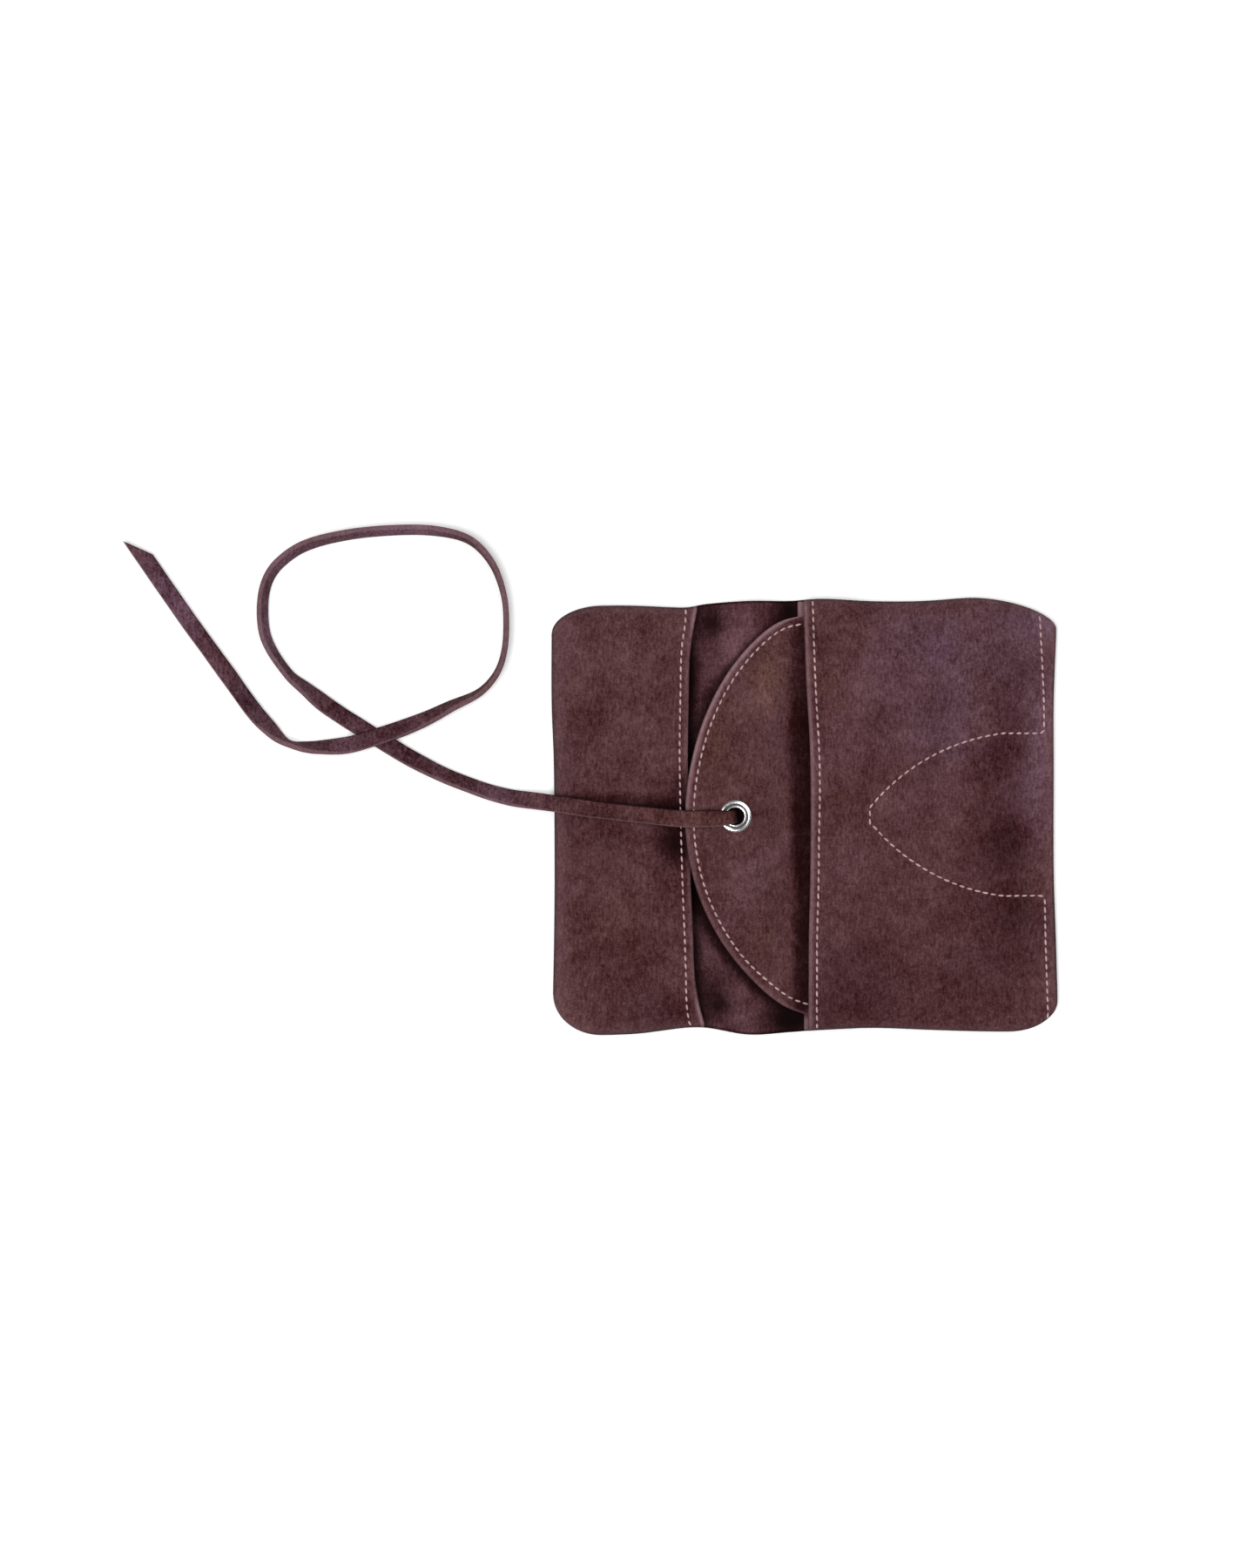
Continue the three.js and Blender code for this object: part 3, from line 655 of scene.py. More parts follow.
def eyelet_section():
    flange_radius = (EYELET_RIM - GROOVE) / 2
    flange_height = FLANGE_SHARE * RIM_HEIGHT
    inner_roll = arc_points(GROOVE - ROLL_RADIUS, rim_seat, ROLL_RADIUS, RIM_HEIGHT, INNER_ARC)
    outer_roll = arc_points(GROOVE + flange_radius, rim_seat, flange_radius, flange_height, OUTER_ARC)
    barrel = EYELET_HOLE + EYELET_WALL
    below = [(barrel, rim_seat), (barrel, washer_top), (EYELET_WASHER, washer_top)]
    foot_middle = washer_top - WASHER_HEIGHT / 2
    foot = arc_points(EYELET_WASHER - FOOT_ROUND, foot_middle, FOOT_ROUND, WASHER_HEIGHT / 2, FOOT_ARC)
    return inner_roll + outer_roll + below + foot + [(EYELET_BORE, washer_top - WASHER_HEIGHT)]


def plated_nickel():
    """Bright nickel plate with fine handling scratches, and painted shade in the groove and below the rim,
    where the plate is rougher too.
    """
    material, tree, shader = new_material("plated_nickel")
    coords = tree.nodes.new("ShaderNodeTexCoord").outputs["Object"]
    scratches = grain_of(tree, coords, SCRATCH_SIZE, SCRATCH_DETAIL)
    clouds = grain_of(tree, coords, PLATE_CLOUD_SIZE)
    share = weighted_sum(tree, 0.5, [(clouds, 1.0), (scratches, SCRATCH_WEIGHT)])
    plate = mixed_colour(tree, share, PLATE_DULL, PLATE_BRIGHT)
    tone_mask = add_node(tree, "ShaderNodeAttribute", {}, attribute_name="groove_shade").outputs["Fac"]
    bump = add_node(tree, "ShaderNodeBump", {"Height": scratches, "Distance": SCRATCH_DEPTH})
    roughening = [(scratches, SCRATCH_ROUGHNESS), (tone_mask, GROOVE_ROUGHNESS)]
    give_inputs(tree, shader, {
        "Base Color": mixed_colour(tree, tone_mask, plate, GROOVE_SHADE_COLOUR),
        "Roughness": weighted_sum(tree, PLATE_ROUGHNESS, roughening),
        "Normal": bump.outputs["Normal"],
        "Metallic": 1.0,
    })
    return material


bm = bmesh.new()
shade_layer = bm.verts.layers.float.new("groove_shade")
eyelet_axis = Vector((*EYELET_PLACE, 0))
section = [bm.verts.new(eyelet_axis + Vector((radius, 0, z))) for radius, z in eyelet_section()]
section_edges = [bm.edges.new(pair) for pair in zip(section, section[1:] + section[:1])]
bmesh.ops.spin(bm, geom=section + section_edges, cent=eyelet_axis, axis=(0, 0, 1),
               angle=2 * math.pi, steps=EYELET_STEPS, use_merge=True)
bmesh.ops.remove_doubles(bm, verts=bm.verts[:], dist=MERGE_DISTANCE)
bmesh.ops.recalc_face_normals(bm, faces=bm.faces[:])
# Painted shade: darkest along the groove between the roll and the flange, and a fixed share on everything
# below the rim seat.
for vert in bm.verts:
    from_groove = (vert.co.xy - EYELET_PLACE).length - GROOVE
    groove_shade = falloff(from_groove, GROOVE_SHADE_WIDTH)
    vert[shade_layer] = groove_shade if vert.co.z >= rim_seat else BELOW_RIM_SHADE
eyelet = finished_piece("eyelet_ring", bm, plated_nickel())
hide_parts("eyelet")


# Narrow pocket: a panel of the outer suede sewn to the back panel's left end on three sides and turned
# right side out, so that its edges are rolled. Its mouth is cut raw, stitched, and stands a little open.
EDGE_HEIGHT = 0.0034
EDGE_ROLL = 0.0045
END_REACH = 0.034
LEFT_LIFT, LEFT_SIDE_REACH = 0.0045, 0.040
MOUTH_STITCH_INSET = 0.0031
Mouth = namedtuple("Mouth", "y left right")
MOUTH_ROWS = [
    Mouth(-0.078, -0.0367, 0.00130),
    Mouth(-0.070, -0.0388, 0.00115),
    Mouth(-0.060, -0.0404, 0.00115),
    Mouth(-0.046, -0.0410, 0.00115),
    Mouth(-0.020, -0.0420, 0.00175),
    Mouth(0.020, -0.0429, 0.00175),
    Mouth(0.046, -0.0426, 0.00040),
    Mouth(0.062, -0.0421, -0.00020),
    Mouth(0.078, -0.0395, -0.00060),
]
LEFT_DENTS = [
    Dent(-0.042, 0.002, 0.0017, 0.014, 0.046),
    Dent(-0.048, -0.014, 0.0007, 0.009, 0.008),
]
# The first row is painted shade in the dent beside the flap's point, below the lace.
LEFT_PATCHES = [
    Patch(-0.0480, -0.0095, 0.0060, 0.0075, -0.40, 0.0, 0.0),
    Patch(-0.0860, -0.0680, 0.0080, 0.0110, 0.10, 0.10, 0.0),
    Patch(-0.0880, 0.0480, 0.0080, 0.0260, 0.04, 0.15, 0.0),
    Patch(-0.0500, 0.0520, 0.0080, 0.0160, 0.05, 0.0, 0.0),
    Patch(-0.0740, -0.0120, 0.0120, 0.0120, -0.06, 0.0, 0.0),
    Patch(-0.0520, -0.0350, 0.0080, 0.0160, 0.05, 0.0, 0.0),
    Patch(-0.0560, -0.0710, 0.0140, 0.0100, -0.06, 0.0, 0.0),
]
EDGE_RUB, EDGE_RUB_WIDTH = 0.24, 0.0045
LEFT_CUT_RUB = Grade(0.064, 0.072, 0.20, 0.85)
LEFT_END_NARROWING = 2
left_mouth = smooth_line(MOUTH_ROWS, "y", "left")
right_mouth = smooth_line(MOUTH_ROWS, "y", "right")


def edge_roll(from_side, side_roll, from_top, from_bottom):
    """How far a panel has rolled up from its three turned edges, from 0 to 1."""
    ends = round_over(from_top / EDGE_ROLL) * round_over(from_bottom / EDGE_ROLL)
    return round_over(from_side / side_roll) * ends


def end_rise(from_top, from_bottom):
    return slack_rise(from_top / END_REACH) * slack_rise(from_bottom / END_REACH)


def turned_edge_rub(*distances):
    """The nap is worn off along the turned edges."""
    return EDGE_RUB * falloff(min(distances), EDGE_RUB_WIDTH)


def left_face(column, row):
    mouth = left_mouth(place_between(-HALF_LENGTH, HALF_LENGTH, row))
    x = place_between(LEFT_SIDE, mouth, column)
    top, bottom = top_edge(x), bottom_edge(x)
    y = place_between(bottom, top, row)
    from_side, from_mouth = x - LEFT_SIDE, mouth - x
    rise = LEFT_LIFT * slack_rise(from_side / LEFT_SIDE_REACH) * end_rise(top - y, y - bottom)
    wall = EDGE_HEIGHT + rise - dent_depth(LEFT_DENTS, x, y) - stitch_dip(from_mouth - MOUTH_STITCH_INSET)
    height = POCKET_BASE + wall * edge_roll(from_side, EDGE_ROLL, top - y, y - bottom)
    cut = graded(LEFT_CUT_RUB, abs(y)) * cut_wear(from_mouth)
    pale_share = max(cut, turned_edge_rub(from_side, LEFT_END_NARROWING * min(top - y, y - bottom)))
    shade = edge_shade(from_side, top - y, y - bottom)
    return Vector((bowed(x, y), y, height)), suede_tone(LEFT_PATCHES, x, y, pale_share, shade)


MOUTH_RIM = [0, 0.0004, 0.0009, 0.0015, 0.0022, 0.0031, 0.0045, 0.0065]
ROLL_STEPS = 5
LEFT_COLUMNS, LEFT_ROWS = 18, 54
TURNED_EDGE = roll_steps(EDGE_ROLL, ROLL_STEPS)
left_columns = places(TURNED_EDGE, MOUTH_RIM, LEFT_COLUMNS)
left_rows = places(TURNED_EDGE, TURNED_EDGE, LEFT_ROWS)
left_pocket = finished_piece(
    "narrow_pocket_suede",
    leather_sheet(left_columns, left_rows, left_face, FRONT_THICKNESS),
    OUTER_SUEDE, subdivisions=2,
)
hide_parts("left_pocket")

MOUTH_SHADE = Grade(-0.020, 0.030, 0.56, 0.80)
MOUTH_END_SHADE, MOUTH_ENDS = 0.15, Grade(0.048, 0.070, 0, 1)
MOUTH_SHADE_REACH = 0.0026
MOUTH_SOFT_SHADE, MOUTH_SOFT_REACH = Grade(0.040, 0.055, 0, 0.25), 0.0060
RIM_SHADE, RIM_SHADE_REACH = Grade(0.012, 0.022, 0.45, 0), 0.0042


def shade_beside_mouth(x, y):
    beyond = max(x - left_mouth(y), 0)
    strength = lerp(graded(MOUTH_SHADE, y), MOUTH_END_SHADE, graded(MOUTH_ENDS, abs(y)))
    close = strength * falloff(beyond, MOUTH_SHADE_REACH)
    return close + graded(MOUTH_SOFT_SHADE, abs(y)) * falloff(beyond, MOUTH_SOFT_REACH)


def shade_under_rim(x, y):
    return graded(RIM_SHADE, abs(y)) * falloff(beyond_rim(x, y), RIM_SHADE_REACH)


paint_shade(back, shade_beside_mouth)
paint_shade(left_pocket, shade_under_rim)


# Wide pocket: the same suede over the back panel's right end, with its mouth's ends on the flap's
# shoulders. Its right edge is stitched flat to the back panel, and a pointed arch is stitched into it.
RIGHT_LIFT, RIGHT_SIDE_REACH = 0.0046, 0.026
SEAM_WIDTH, SEAM_HEIGHT, SEAM_FADE = 0.005, 0.0021, 0.016
FLAP_STEP_START, FLAP_STEP_END = 0.0005, 0.007
RIGHT_DENTS = [
    Dent(0.078, 0.046, 0.0007, 0.012, 0.010),
    Dent(0.074, -0.012, 0.0009, 0.012, 0.014),
    Dent(0.064, -0.054, 0.0008, 0.018, 0.012),
]
RIGHT_PATCHES = [
    Patch(0.0540, 0.0500, 0.0280, 0.0260, 0.05, 0.85, 0.0),
    Patch(0.0840, 0.0700, 0.0160, 0.0100, 0.22, 0.70, 0.0),
    Patch(0.0860, 0.0240, 0.0065, 0.0420, 0.24, 0.50, 0.0),
    Patch(0.0440, 0.0660, 0.0200, 0.0080, 0.10, 0.20, 0.0),
    Patch(0.0800, 0.0470, 0.0090, 0.0080, -0.06, 0.10, 0.0),
    Patch(0.0460, 0.0270, 0.0140, 0.0100, 0.14, 0.30, 0.0),
    Patch(0.0745, -0.0110, 0.0090, 0.0130, -0.17, 0.0, 0.0),
    Patch(0.0690, -0.0520, 0.0220, 0.0150, -0.05, 0.0, 0.0),
    Patch(0.0790, -0.0350, 0.0100, 0.0110, -0.13, 0.0, 0.0),
    Patch(0.0140, -0.0640, 0.0180, 0.0200, -0.10, 0.0, 0.0),
    Patch(0.0180, 0.0420, 0.0120, 0.0200, 0.06, 0.0, 0.1),
    Patch(0.0730, 0.0250, 0.0080, 0.0070, -0.07, 0.20, 0.0),
    Patch(0.0780, 0.0080, 0.0080, 0.0100, 0.02, 0.40, 0.0),
]
Valley = namedtuple("Valley", "y reach")
VALLEY_ROWS = [
    Valley(-0.060, 0.0054),
    Valley(-0.040, 0.0052),
    Valley(-0.018, 0.0062),
    Valley(0.019, 0.0080),
    Valley(0.040, 0.0060),
    Valley(0.062, 0.0050),
]
VALLEY_FADE = 0.0018
VALLEY_SHADE = Grade(-0.060, -0.030, 0.36, 0.62)
SHOULDER_FADE = Grade(0.070, 0.0735, 1, 0)
RIGHT_CUT_RUB = 0.55
RIGHT_SIDE_NARROWING, RIGHT_END_NARROWING = 2, 3
valley_reach = smooth_line(VALLEY_ROWS, "y", "reach")


def right_pocket_base(x):
    over_flap = 1 - smoothstep(x, FLAP_ROOT + FLAP_STEP_START, FLAP_ROOT + FLAP_STEP_END)
    return POCKET_BASE + (FRONT_THICKNESS + PANEL_GAP) * over_flap


def right_face(column, row):
    mouth = right_mouth(place_between(-HALF_LENGTH, HALF_LENGTH, row))
    x = place_between(mouth, RIGHT_SIDE, column)
    top, bottom = top_edge(x), bottom_edge(x)
    y = place_between(bottom, top, row)
    from_side, from_mouth = RIGHT_SIDE - x, x - mouth
    base = right_pocket_base(x)
    lift = RIGHT_LIFT + POCKET_BASE - base
    rise = lift * smoothstep(from_side, SEAM_WIDTH, SEAM_WIDTH + RIGHT_SIDE_REACH)
    edge = lerp(SEAM_HEIGHT, EDGE_HEIGHT, smoothstep(from_side, SEAM_WIDTH, SEAM_WIDTH + SEAM_FADE))
    hollow = dent_depth(RIGHT_DENTS, x, y) + stitch_dip(from_mouth - MOUTH_STITCH_INSET)
    wall = edge + rise * end_rise(top - y, y - bottom) - hollow
    height = base + wall * edge_roll(from_side, SEAM_HEIGHT, top - y, y - bottom)
    cut = RIGHT_CUT_RUB * cut_wear(from_mouth)
    from_end = RIGHT_END_NARROWING * min(top - y, y - bottom)
    pale_share = max(cut, turned_edge_rub(RIGHT_SIDE_NARROWING * from_side, from_end))
    shade = edge_shade(from_side, top - y, y - bottom)
    return Vector((bowed(x, y), y, height)), suede_tone(RIGHT_PATCHES, x, y, pale_share, shade)


SEAM_STEPS = 4
RIGHT_COLUMNS, RIGHT_ROWS = 30, 48
right_columns = places(MOUTH_RIM, roll_steps(SEAM_HEIGHT, SEAM_STEPS), RIGHT_COLUMNS)
right_rows = places(TURNED_EDGE, TURNED_EDGE, RIGHT_ROWS)
right_pocket = finished_piece(
    "wide_pocket_suede",
    leather_sheet(right_columns, right_rows, right_face, FRONT_THICKNESS),
    OUTER_SUEDE, subdivisions=2,
)
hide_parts("right_pocket")


def shade_before_mouth(x, y):
    before = max(right_mouth(y) - x, 0)
    reach = valley_reach(y)
    fade = 1 - smoothstep(before, reach - VALLEY_FADE, reach + VALLEY_FADE)
    return graded(VALLEY_SHADE, -y) * fade * graded(SHOULDER_FADE, abs(y))


paint_shade(flap, shade_before_mouth)


# Stitching: rows of pale polyester lockstitch, three millimetres to the stitch, along both mouths, the
# flap's round edge, the wide pocket's right edge and the pointed arch. The thread dips in at each hole.
STITCH_PITCH = 0.0030
STITCH_LENGTH = 0.0023
STITCH_UNEVENNESS = (0.93, 1.05)
STITCH_SLANT = math.radians(5)
THREAD_RADIUS, THREAD_FLATNESS = 0.00040, 0.9
THREAD_SIDES, THREAD_RINGS = 8, 6
SEAM_MARGIN = 0.0004
LOWER_FLARE, UPPER_FLARE = Grade(0.056, 0.077, 0, 0.0019), Grade(0.070, 0.077, 0, 0.0008)
WIDE_SHIFT = Grade(-0.010, 0.010, 0, 0.0003)
RIM_SHIFT = Grade(38, 52, 0, 0.0007)
MOUTH_LINE_STEPS, RIM_LINE_STEPS = 80, 90
ARCH_STEPS, ARCH_TURN_STEPS, EDGE_LINE_STEPS = 30, 4, 20
ARCH_RADIUS = 0.0744
ARCH_CENTRE = 0.0815
ARCH_MIDDLE = 0.0008
ARCH_RISE = 0.0303
ARCH_HALF_HEIGHT = 0.0298
ARCH_BLUNTING = 0.0026
ARCH_TURN = 0.0020
EdgeStitch = namedtuple("EdgeStitch", "y x")
EDGE_STITCH_ROWS = [
    EdgeStitch(-0.0745, 0.0894),
    EdgeStitch(-0.0665, 0.0892),
    EdgeStitch(-0.0412, 0.0884),
    EdgeStitch(0.0, 0.0880),
    EdgeStitch(0.0406, 0.0879),
    EdgeStitch(0.0537, 0.0874),
    EdgeStitch(0.0742, 0.0863),
]
THREAD_SOILED, THREAD_PALE = (0.25, 0.14, 0.145, 1), (0.70, 0.47, 0.48, 1)
THREAD_ROUGHNESS = 0.6
PLY_SLANT, PLY_WANDER, PLY_DEPTH = (2.0, 5.0, 1.0), 0.4, 0.00008
THREAD_SOIL_SIZE = 0.004
THREAD_LEVEL, PLY_WEIGHT, SOIL_WEIGHT = 0.35, 0.5, 1.2
edge_stitch_x = smooth_line(EDGE_STITCH_ROWS, "y", "x")


def sewing_thread():
    """Pale twisted thread: a fine slanting ply round each stitch."""
    material, tree, shader = new_material("sewing_thread")
    coords = tree.nodes.new("ShaderNodeTexCoord").outputs
    slanted = add_node(tree, "ShaderNodeMapping", {"Vector": coords["UV"], "Scale": PLY_SLANT})
    ply_inputs = {"Vector": slanted.outputs["Vector"], "Scale": 1.0, "Distortion": PLY_WANDER}
    ply = add_node(tree, "ShaderNodeTexWave", ply_inputs, bands_direction="DIAGONAL").outputs["Fac"]
    tone_mask = grain_of(tree, coords["Object"], THREAD_SOIL_SIZE)
    share = weighted_sum(tree, THREAD_LEVEL, [(ply, PLY_WEIGHT), (tone_mask, SOIL_WEIGHT)])
    bump = add_node(tree, "ShaderNodeBump", {"Height": ply, "Distance": PLY_DEPTH})
    give_inputs(tree, shader, {
        "Base Color": mixed_colour(tree, share, THREAD_SOILED, THREAD_PALE),
        "Roughness": THREAD_ROUGHNESS,
        "Normal": bump.outputs["Normal"],
    })
    return material


THREAD = sewing_thread()
unevenness = random.Random(7)


def even_steps(points, pitch):
    """Middles and directions of the stitches along a line of points."""
    lengths = [(b - a).length for a, b in zip(points, points[1:])]
    count = round(sum(lengths) / pitch)
    reached, i, stitches = 0.0, 0, []
    for k in range(count):
        target = (k + 0.5) / count * sum(lengths)
        while i < len(lengths) - 1 and reached + lengths[i] < target:
            reached += lengths[i]
            i += 1
        share = (target - reached) / lengths[i]
        stitches.append((points[i].lerp(points[i + 1], share), (points[i + 1] - points[i]).normalized()))
    return stitches


def stitch_row(name, panel, points):
    """One row of stitches, each lying on its panel and dipping into it at both ends."""
    surface = BVHTree.FromObject(panel, bpy.context.evaluated_depsgraph_get())
    bm = bmesh.new()
    bm.loops.layers.uv.new("thread_uv")
    for middle, direction in even_steps(points, STITCH_PITCH):
        place, normal, _, _ = surface.ray_cast(Vector((*middle, 1)), Vector((0, 0, -1)))
        if place is None:
            continue
        slanted = Matrix.Rotation(STITCH_SLANT, 3, normal) @ Vector((*direction, 0))
        side = normal.cross(slanted).normalized()
        along = side.cross(normal)
        half_length = STITCH_LENGTH / 2 * unevenness.uniform(*STITCH_UNEVENNESS)
        axes = (THREAD_RADIUS * side, THREAD_FLATNESS * THREAD_RADIUS * normal, half_length * along)
        seat = Matrix([(*(axis[i] for axis in axes), place[i]) for i in range(3)] + [(0, 0, 0, 1)])
        bmesh.ops.create_uvsphere(bm, u_segments=THREAD_SIDES, v_segments=THREAD_RINGS, radius=1,
                                  matrix=seat, calc_uvs=True)
    bmesh.ops.recalc_face_normals(bm, faces=bm.faces[:])
    row = finished_piece(name, bm, THREAD)
    return row


def narrow_inset(y):
    """The narrow mouth's stitches run straighter than its flared ends."""
    return -MOUTH_STITCH_INSET - (graded(LOWER_FLARE, -y) + graded(UPPER_FLARE, y))


def wide_inset(y):
    return MOUTH_STITCH_INSET + graded(WIDE_SHIFT, y)


def mouth_stitches(mouth, inset):
    low = bottom_edge(mouth(-HALF_LENGTH) + inset(-HALF_LENGTH)) + SEAM_MARGIN
    high = top_edge(mouth(HALF_LENGTH) + inset(HALF_LENGTH)) - SEAM_MARGIN
    return [Vector((mouth(y) + inset(y), y)) for y in even_places(low, high, MOUTH_LINE_STEPS)]


def flap_stitches():
    low, high = FLAP_RIM_ROWS[0].degrees, FLAP_RIM_ROWS[-1].degrees
    turns = even_places(low, high, RIM_LINE_STEPS)
    return [rim_point(turn, FLAP_STITCH_INSET + graded(RIM_SHIFT, -turn)) for turn in turns]


def half_arch(side):
    """One side of the pointed arch, from its blunt point to the right edge, then out along that edge."""
    sink = ARCH_RADIUS - ARCH_RISE
    start = math.acos((sink + ARCH_BLUNTING) / ARCH_RADIUS)
    curve = [(ARCH_CENTRE - ARCH_RADIUS * math.sin(a),
              min(ARCH_RADIUS * math.cos(a) - sink, ARCH_HALF_HEIGHT))
             for a in even_places(start, 0, ARCH_STEPS)]
    edge = edge_stitch_x(ARCH_MIDDLE + side * ARCH_HALF_HEIGHT) - ARCH_TURN
    turn = [(edge + ARCH_TURN * math.sin(a), ARCH_HALF_HEIGHT + ARCH_TURN * (1 - math.cos(a)))
            for a in even_places(0, math.pi / 2, ARCH_TURN_STEPS)]
    line = [Vector((x, ARCH_MIDDLE + side * out)) for x, out in curve + turn]
    end = EDGE_STITCH_ROWS[-1 if side > 0 else 0].y
    heights = even_places(line[-1].y, end, EDGE_LINE_STEPS)[1:]
    return line + [Vector((edge_stitch_x(y), y)) for y in heights]


arch_line = list(reversed(half_arch(1))) + half_arch(-1)
stitch_row("narrow_mouth_stitches", left_pocket, mouth_stitches(left_mouth, narrow_inset))
stitch_row("wide_mouth_stitches", right_pocket, mouth_stitches(right_mouth, wide_inset))
stitch_row("flap_stitches", flap, flap_stitches())
stitch_row("edge_and_arch_stitches", right_pocket, arch_line)


# Tie lace: a flat strip cut from the same suede, a little over half a metre long, knotted under the flap
# and drawn up through the eyelet. It lies over the narrow pocket and loops once over itself on the table.
LACE_WIDTH = 0.0062
LACE_THICKNESS = 0.0020
LACE_ROUNDING, LACE_CORNER_STEPS = 0.00055, 3
LACE_CLEARANCE = 0.0001
CLIMB_BIAS = 0.05
LACE_STEP = 0.0016
LACE_TIP = Vector((-0.251, 0.1015, 0))
LACE_TIP_SLANT = Vector((0.0089, -0.0040, 0))
LACE_TIP_REACH = 0.025
EYELET_PINCH = Grade(0.0035, 0.0110, 0.78, 1)
HOLE_SHADE = -0.42
LACE_HOLE_SHADE = Grade(0.002, 0.005, HOLE_SHADE, 0)
CUT_WANDER, CUT_WAVES, CUT_SIDE = 0.05, 90, 4
CUT_EDGE_FROM, CUT_EDGE_TO = LACE_WIDTH / 2 - 0.0006, LACE_WIDTH / 2 - 0.0001
PALE_EDGE_RUB_AND_LIGHT, DARK_EDGE_SHADE = 0.55, -0.25
LACE_SHADE, LACE_SHADE_REACH = (0.85, 0.30), (0.0038, 0.0018)
Climb = namedtuple("Climb", "x y z")
LACE_CLIMB = [
    Climb(-0.0260, 0.0002, 0.0083),
    Climb(-0.0260, 0.0002, 0.0100),
    Climb(-0.0264, 0.0001, 0.0118),
    Climb(-0.0278, -0.0002, 0.0129),
]
Lie = namedtuple("Lie", "x y on lean")
LACE_ROWS = [
    Lie(-0.0306, -0.0005, 0.01195, 0),
    Lie(-0.0444, -0.0007, 0.01090, 0),
    Lie(-0.0598, 0.0008, 0.00980, 0),
    Lie(-0.0765, 0.0026, 0.00860, 0),
    Lie(-0.0880, 0.0043, 0.00680, 4),
    Lie(-0.0960, 0.0054, 0.00340, 10),
    Lie(-0.1100, 0.0074, 0, 28),
    Lie(-0.1274, 0.0131, 0, 40),
    Lie(-0.1420, 0.0199, 0, 26),
    Lie(-0.1575, 0.0290, 0, 5),
    Lie(-0.1750, 0.0402, 0, 12),
    Lie(-0.1833, 0.0469, 0, 50),
    Lie(-0.1898, 0.0524, 0, 70),
    Lie(-0.1976, 0.0645, 0, 68),
    Lie(-0.1993, 0.0750, 0, 68),
    Lie(-0.1980, 0.0855, 0, 70),
    Lie(-0.1936, 0.0927, 0, 68),
    Lie(-0.1840, 0.0994, 0, 68),
    Lie(-0.1680, 0.1036, 0, 70),
    Lie(-0.1500, 0.1053, 0, 71),
    Lie(-0.1350, 0.1049, 0, 73),
    Lie(-0.1230, 0.1015, 0, 78),
    Lie(-0.1150, 0.0932, 0, 82),
    Lie(-0.1106, 0.0815, 0, 86),
    Lie(-0.1097, 0.0700, 0, 86),
    Lie(-0.1106, 0.0600, 0, 85),
    Lie(-0.1134, 0.0524, 0, 82),
    Lie(-0.1195, 0.0457, 0, 76),
    Lie(-0.1300, 0.0406, 0, 60),
    Lie(-0.1410, 0.0352, 0.0010, 36),
    Lie(-0.1575, 0.0292, 0.0031, 12),
    Lie(-0.1680, 0.0263, 0.0022, 20),
    Lie(-0.1788, 0.0255, 0, 50),
    Lie(-0.1843, 0.0257, 0, 66),
    Lie(-0.1894, 0.0267, 0, 82),
    Lie(-0.1928, 0.0287, 0, 68),
    Lie(-0.1958, 0.0315, 0, 48),
    Lie(-0.2026, 0.0388, 0, 12),
    Lie(-0.2116, 0.0512, 0, 8),
    Lie(-0.2287, 0.0748, 0, 8),
    Lie(-0.2484, 0.1033, 0, 10),
]
LACE_PATCHES = [
    Patch(-0.2320, 0.0820, 0.016, 0.030, 0.12, 1.3, 0.0),
    Patch(-0.1650, 0.0950, 0.045, 0.030, 0.20, 1.3, 0.0),
    Patch(-0.1900, 0.0560, 0.018, 0.020, 0.06, 0.9, 0.0),
    Patch(-0.2050, 0.0440, 0.010, 0.012, -0.14, 0.4, 0.0),
    Patch(-0.1880, 0.0265, 0.008, 0.006, 0.14, 0.5, 0.0),
    Patch(-0.1500, 0.0250, 0.060, 0.022, -0.03, 0.75, 0.0),
    Patch(-0.1110, 0.0090, 0.014, 0.010, 0.08, 0.6, 0.0),
]
Reach = namedtuple("Reach", "along x y z lean")


def lace_reaches():
    """The lace's middle line, row by row, with the distance reached along it."""
    points = [(Vector(row), 0.0) for row in LACE_CLIMB]
    for row in LACE_ROWS:
        lean = math.radians(row.lean)
        half = LACE_WIDTH / 2 * math.sin(lean) + LACE_THICKNESS / 2 * math.cos(lean)
        points.append((Vector((row.x, row.y, row.on + LACE_CLEARANCE + half)), lean))
    reaches, along = [], 0.0
    for i, (point, lean) in enumerate(points):
        along += (point - points[i - 1][0]).length if i else 0
        reaches.append(Reach(along, *point, lean))
    return reaches


reaches = lace_reaches()
lace_x, lace_y, lace_z, lace_lean = (smooth_line(reaches, "along", c) for c in ("x", "y", "z", "lean"))


def lace_middle(along):
    return Vector((lace_x(along), lace_y(along), lace_z(along)))


def lace_frame(along):
    """The lace's middle, its width direction turned from flat to on edge, and its face direction."""
    tangent = (lace_middle(along + LACE_STEP / 4) - lace_middle(along - LACE_STEP / 4)).normalized()
    across = Vector((0, 0, 1)).cross(tangent) + Vector((0, -CLIMB_BIAS, 0))
    across = (across - across.dot(tangent) * tangent).normalized()
    width = Matrix.Rotation(lace_lean(along), 3, tangent) @ across
    return lace_middle(along), width, tangent.cross(width)


def lace_section():
    """Points round the strip's section: flat faces, square cut edges, rounded corners."""
    half_width, half_thickness = LACE_WIDTH / 2 - LACE_ROUNDING, LACE_THICKNESS / 2 - LACE_ROUNDING
    points = []
    for corner, (sx, sy) in enumerate(((1, -1), (1, 1), (-1, 1), (-1, -1))):
        for turn in even_places(-90, 0, LACE_CORNER_STEPS):
            angle = math.radians(90 * corner + turn)
            round_point = LACE_ROUNDING * Vector((math.cos(angle), math.sin(angle)))
            points.append(Vector((sx * half_width, sy * half_thickness)) + round_point)
        if sx == sy:
            points.append(Vector((0, sy * LACE_THICKNESS / 2)))
    return points


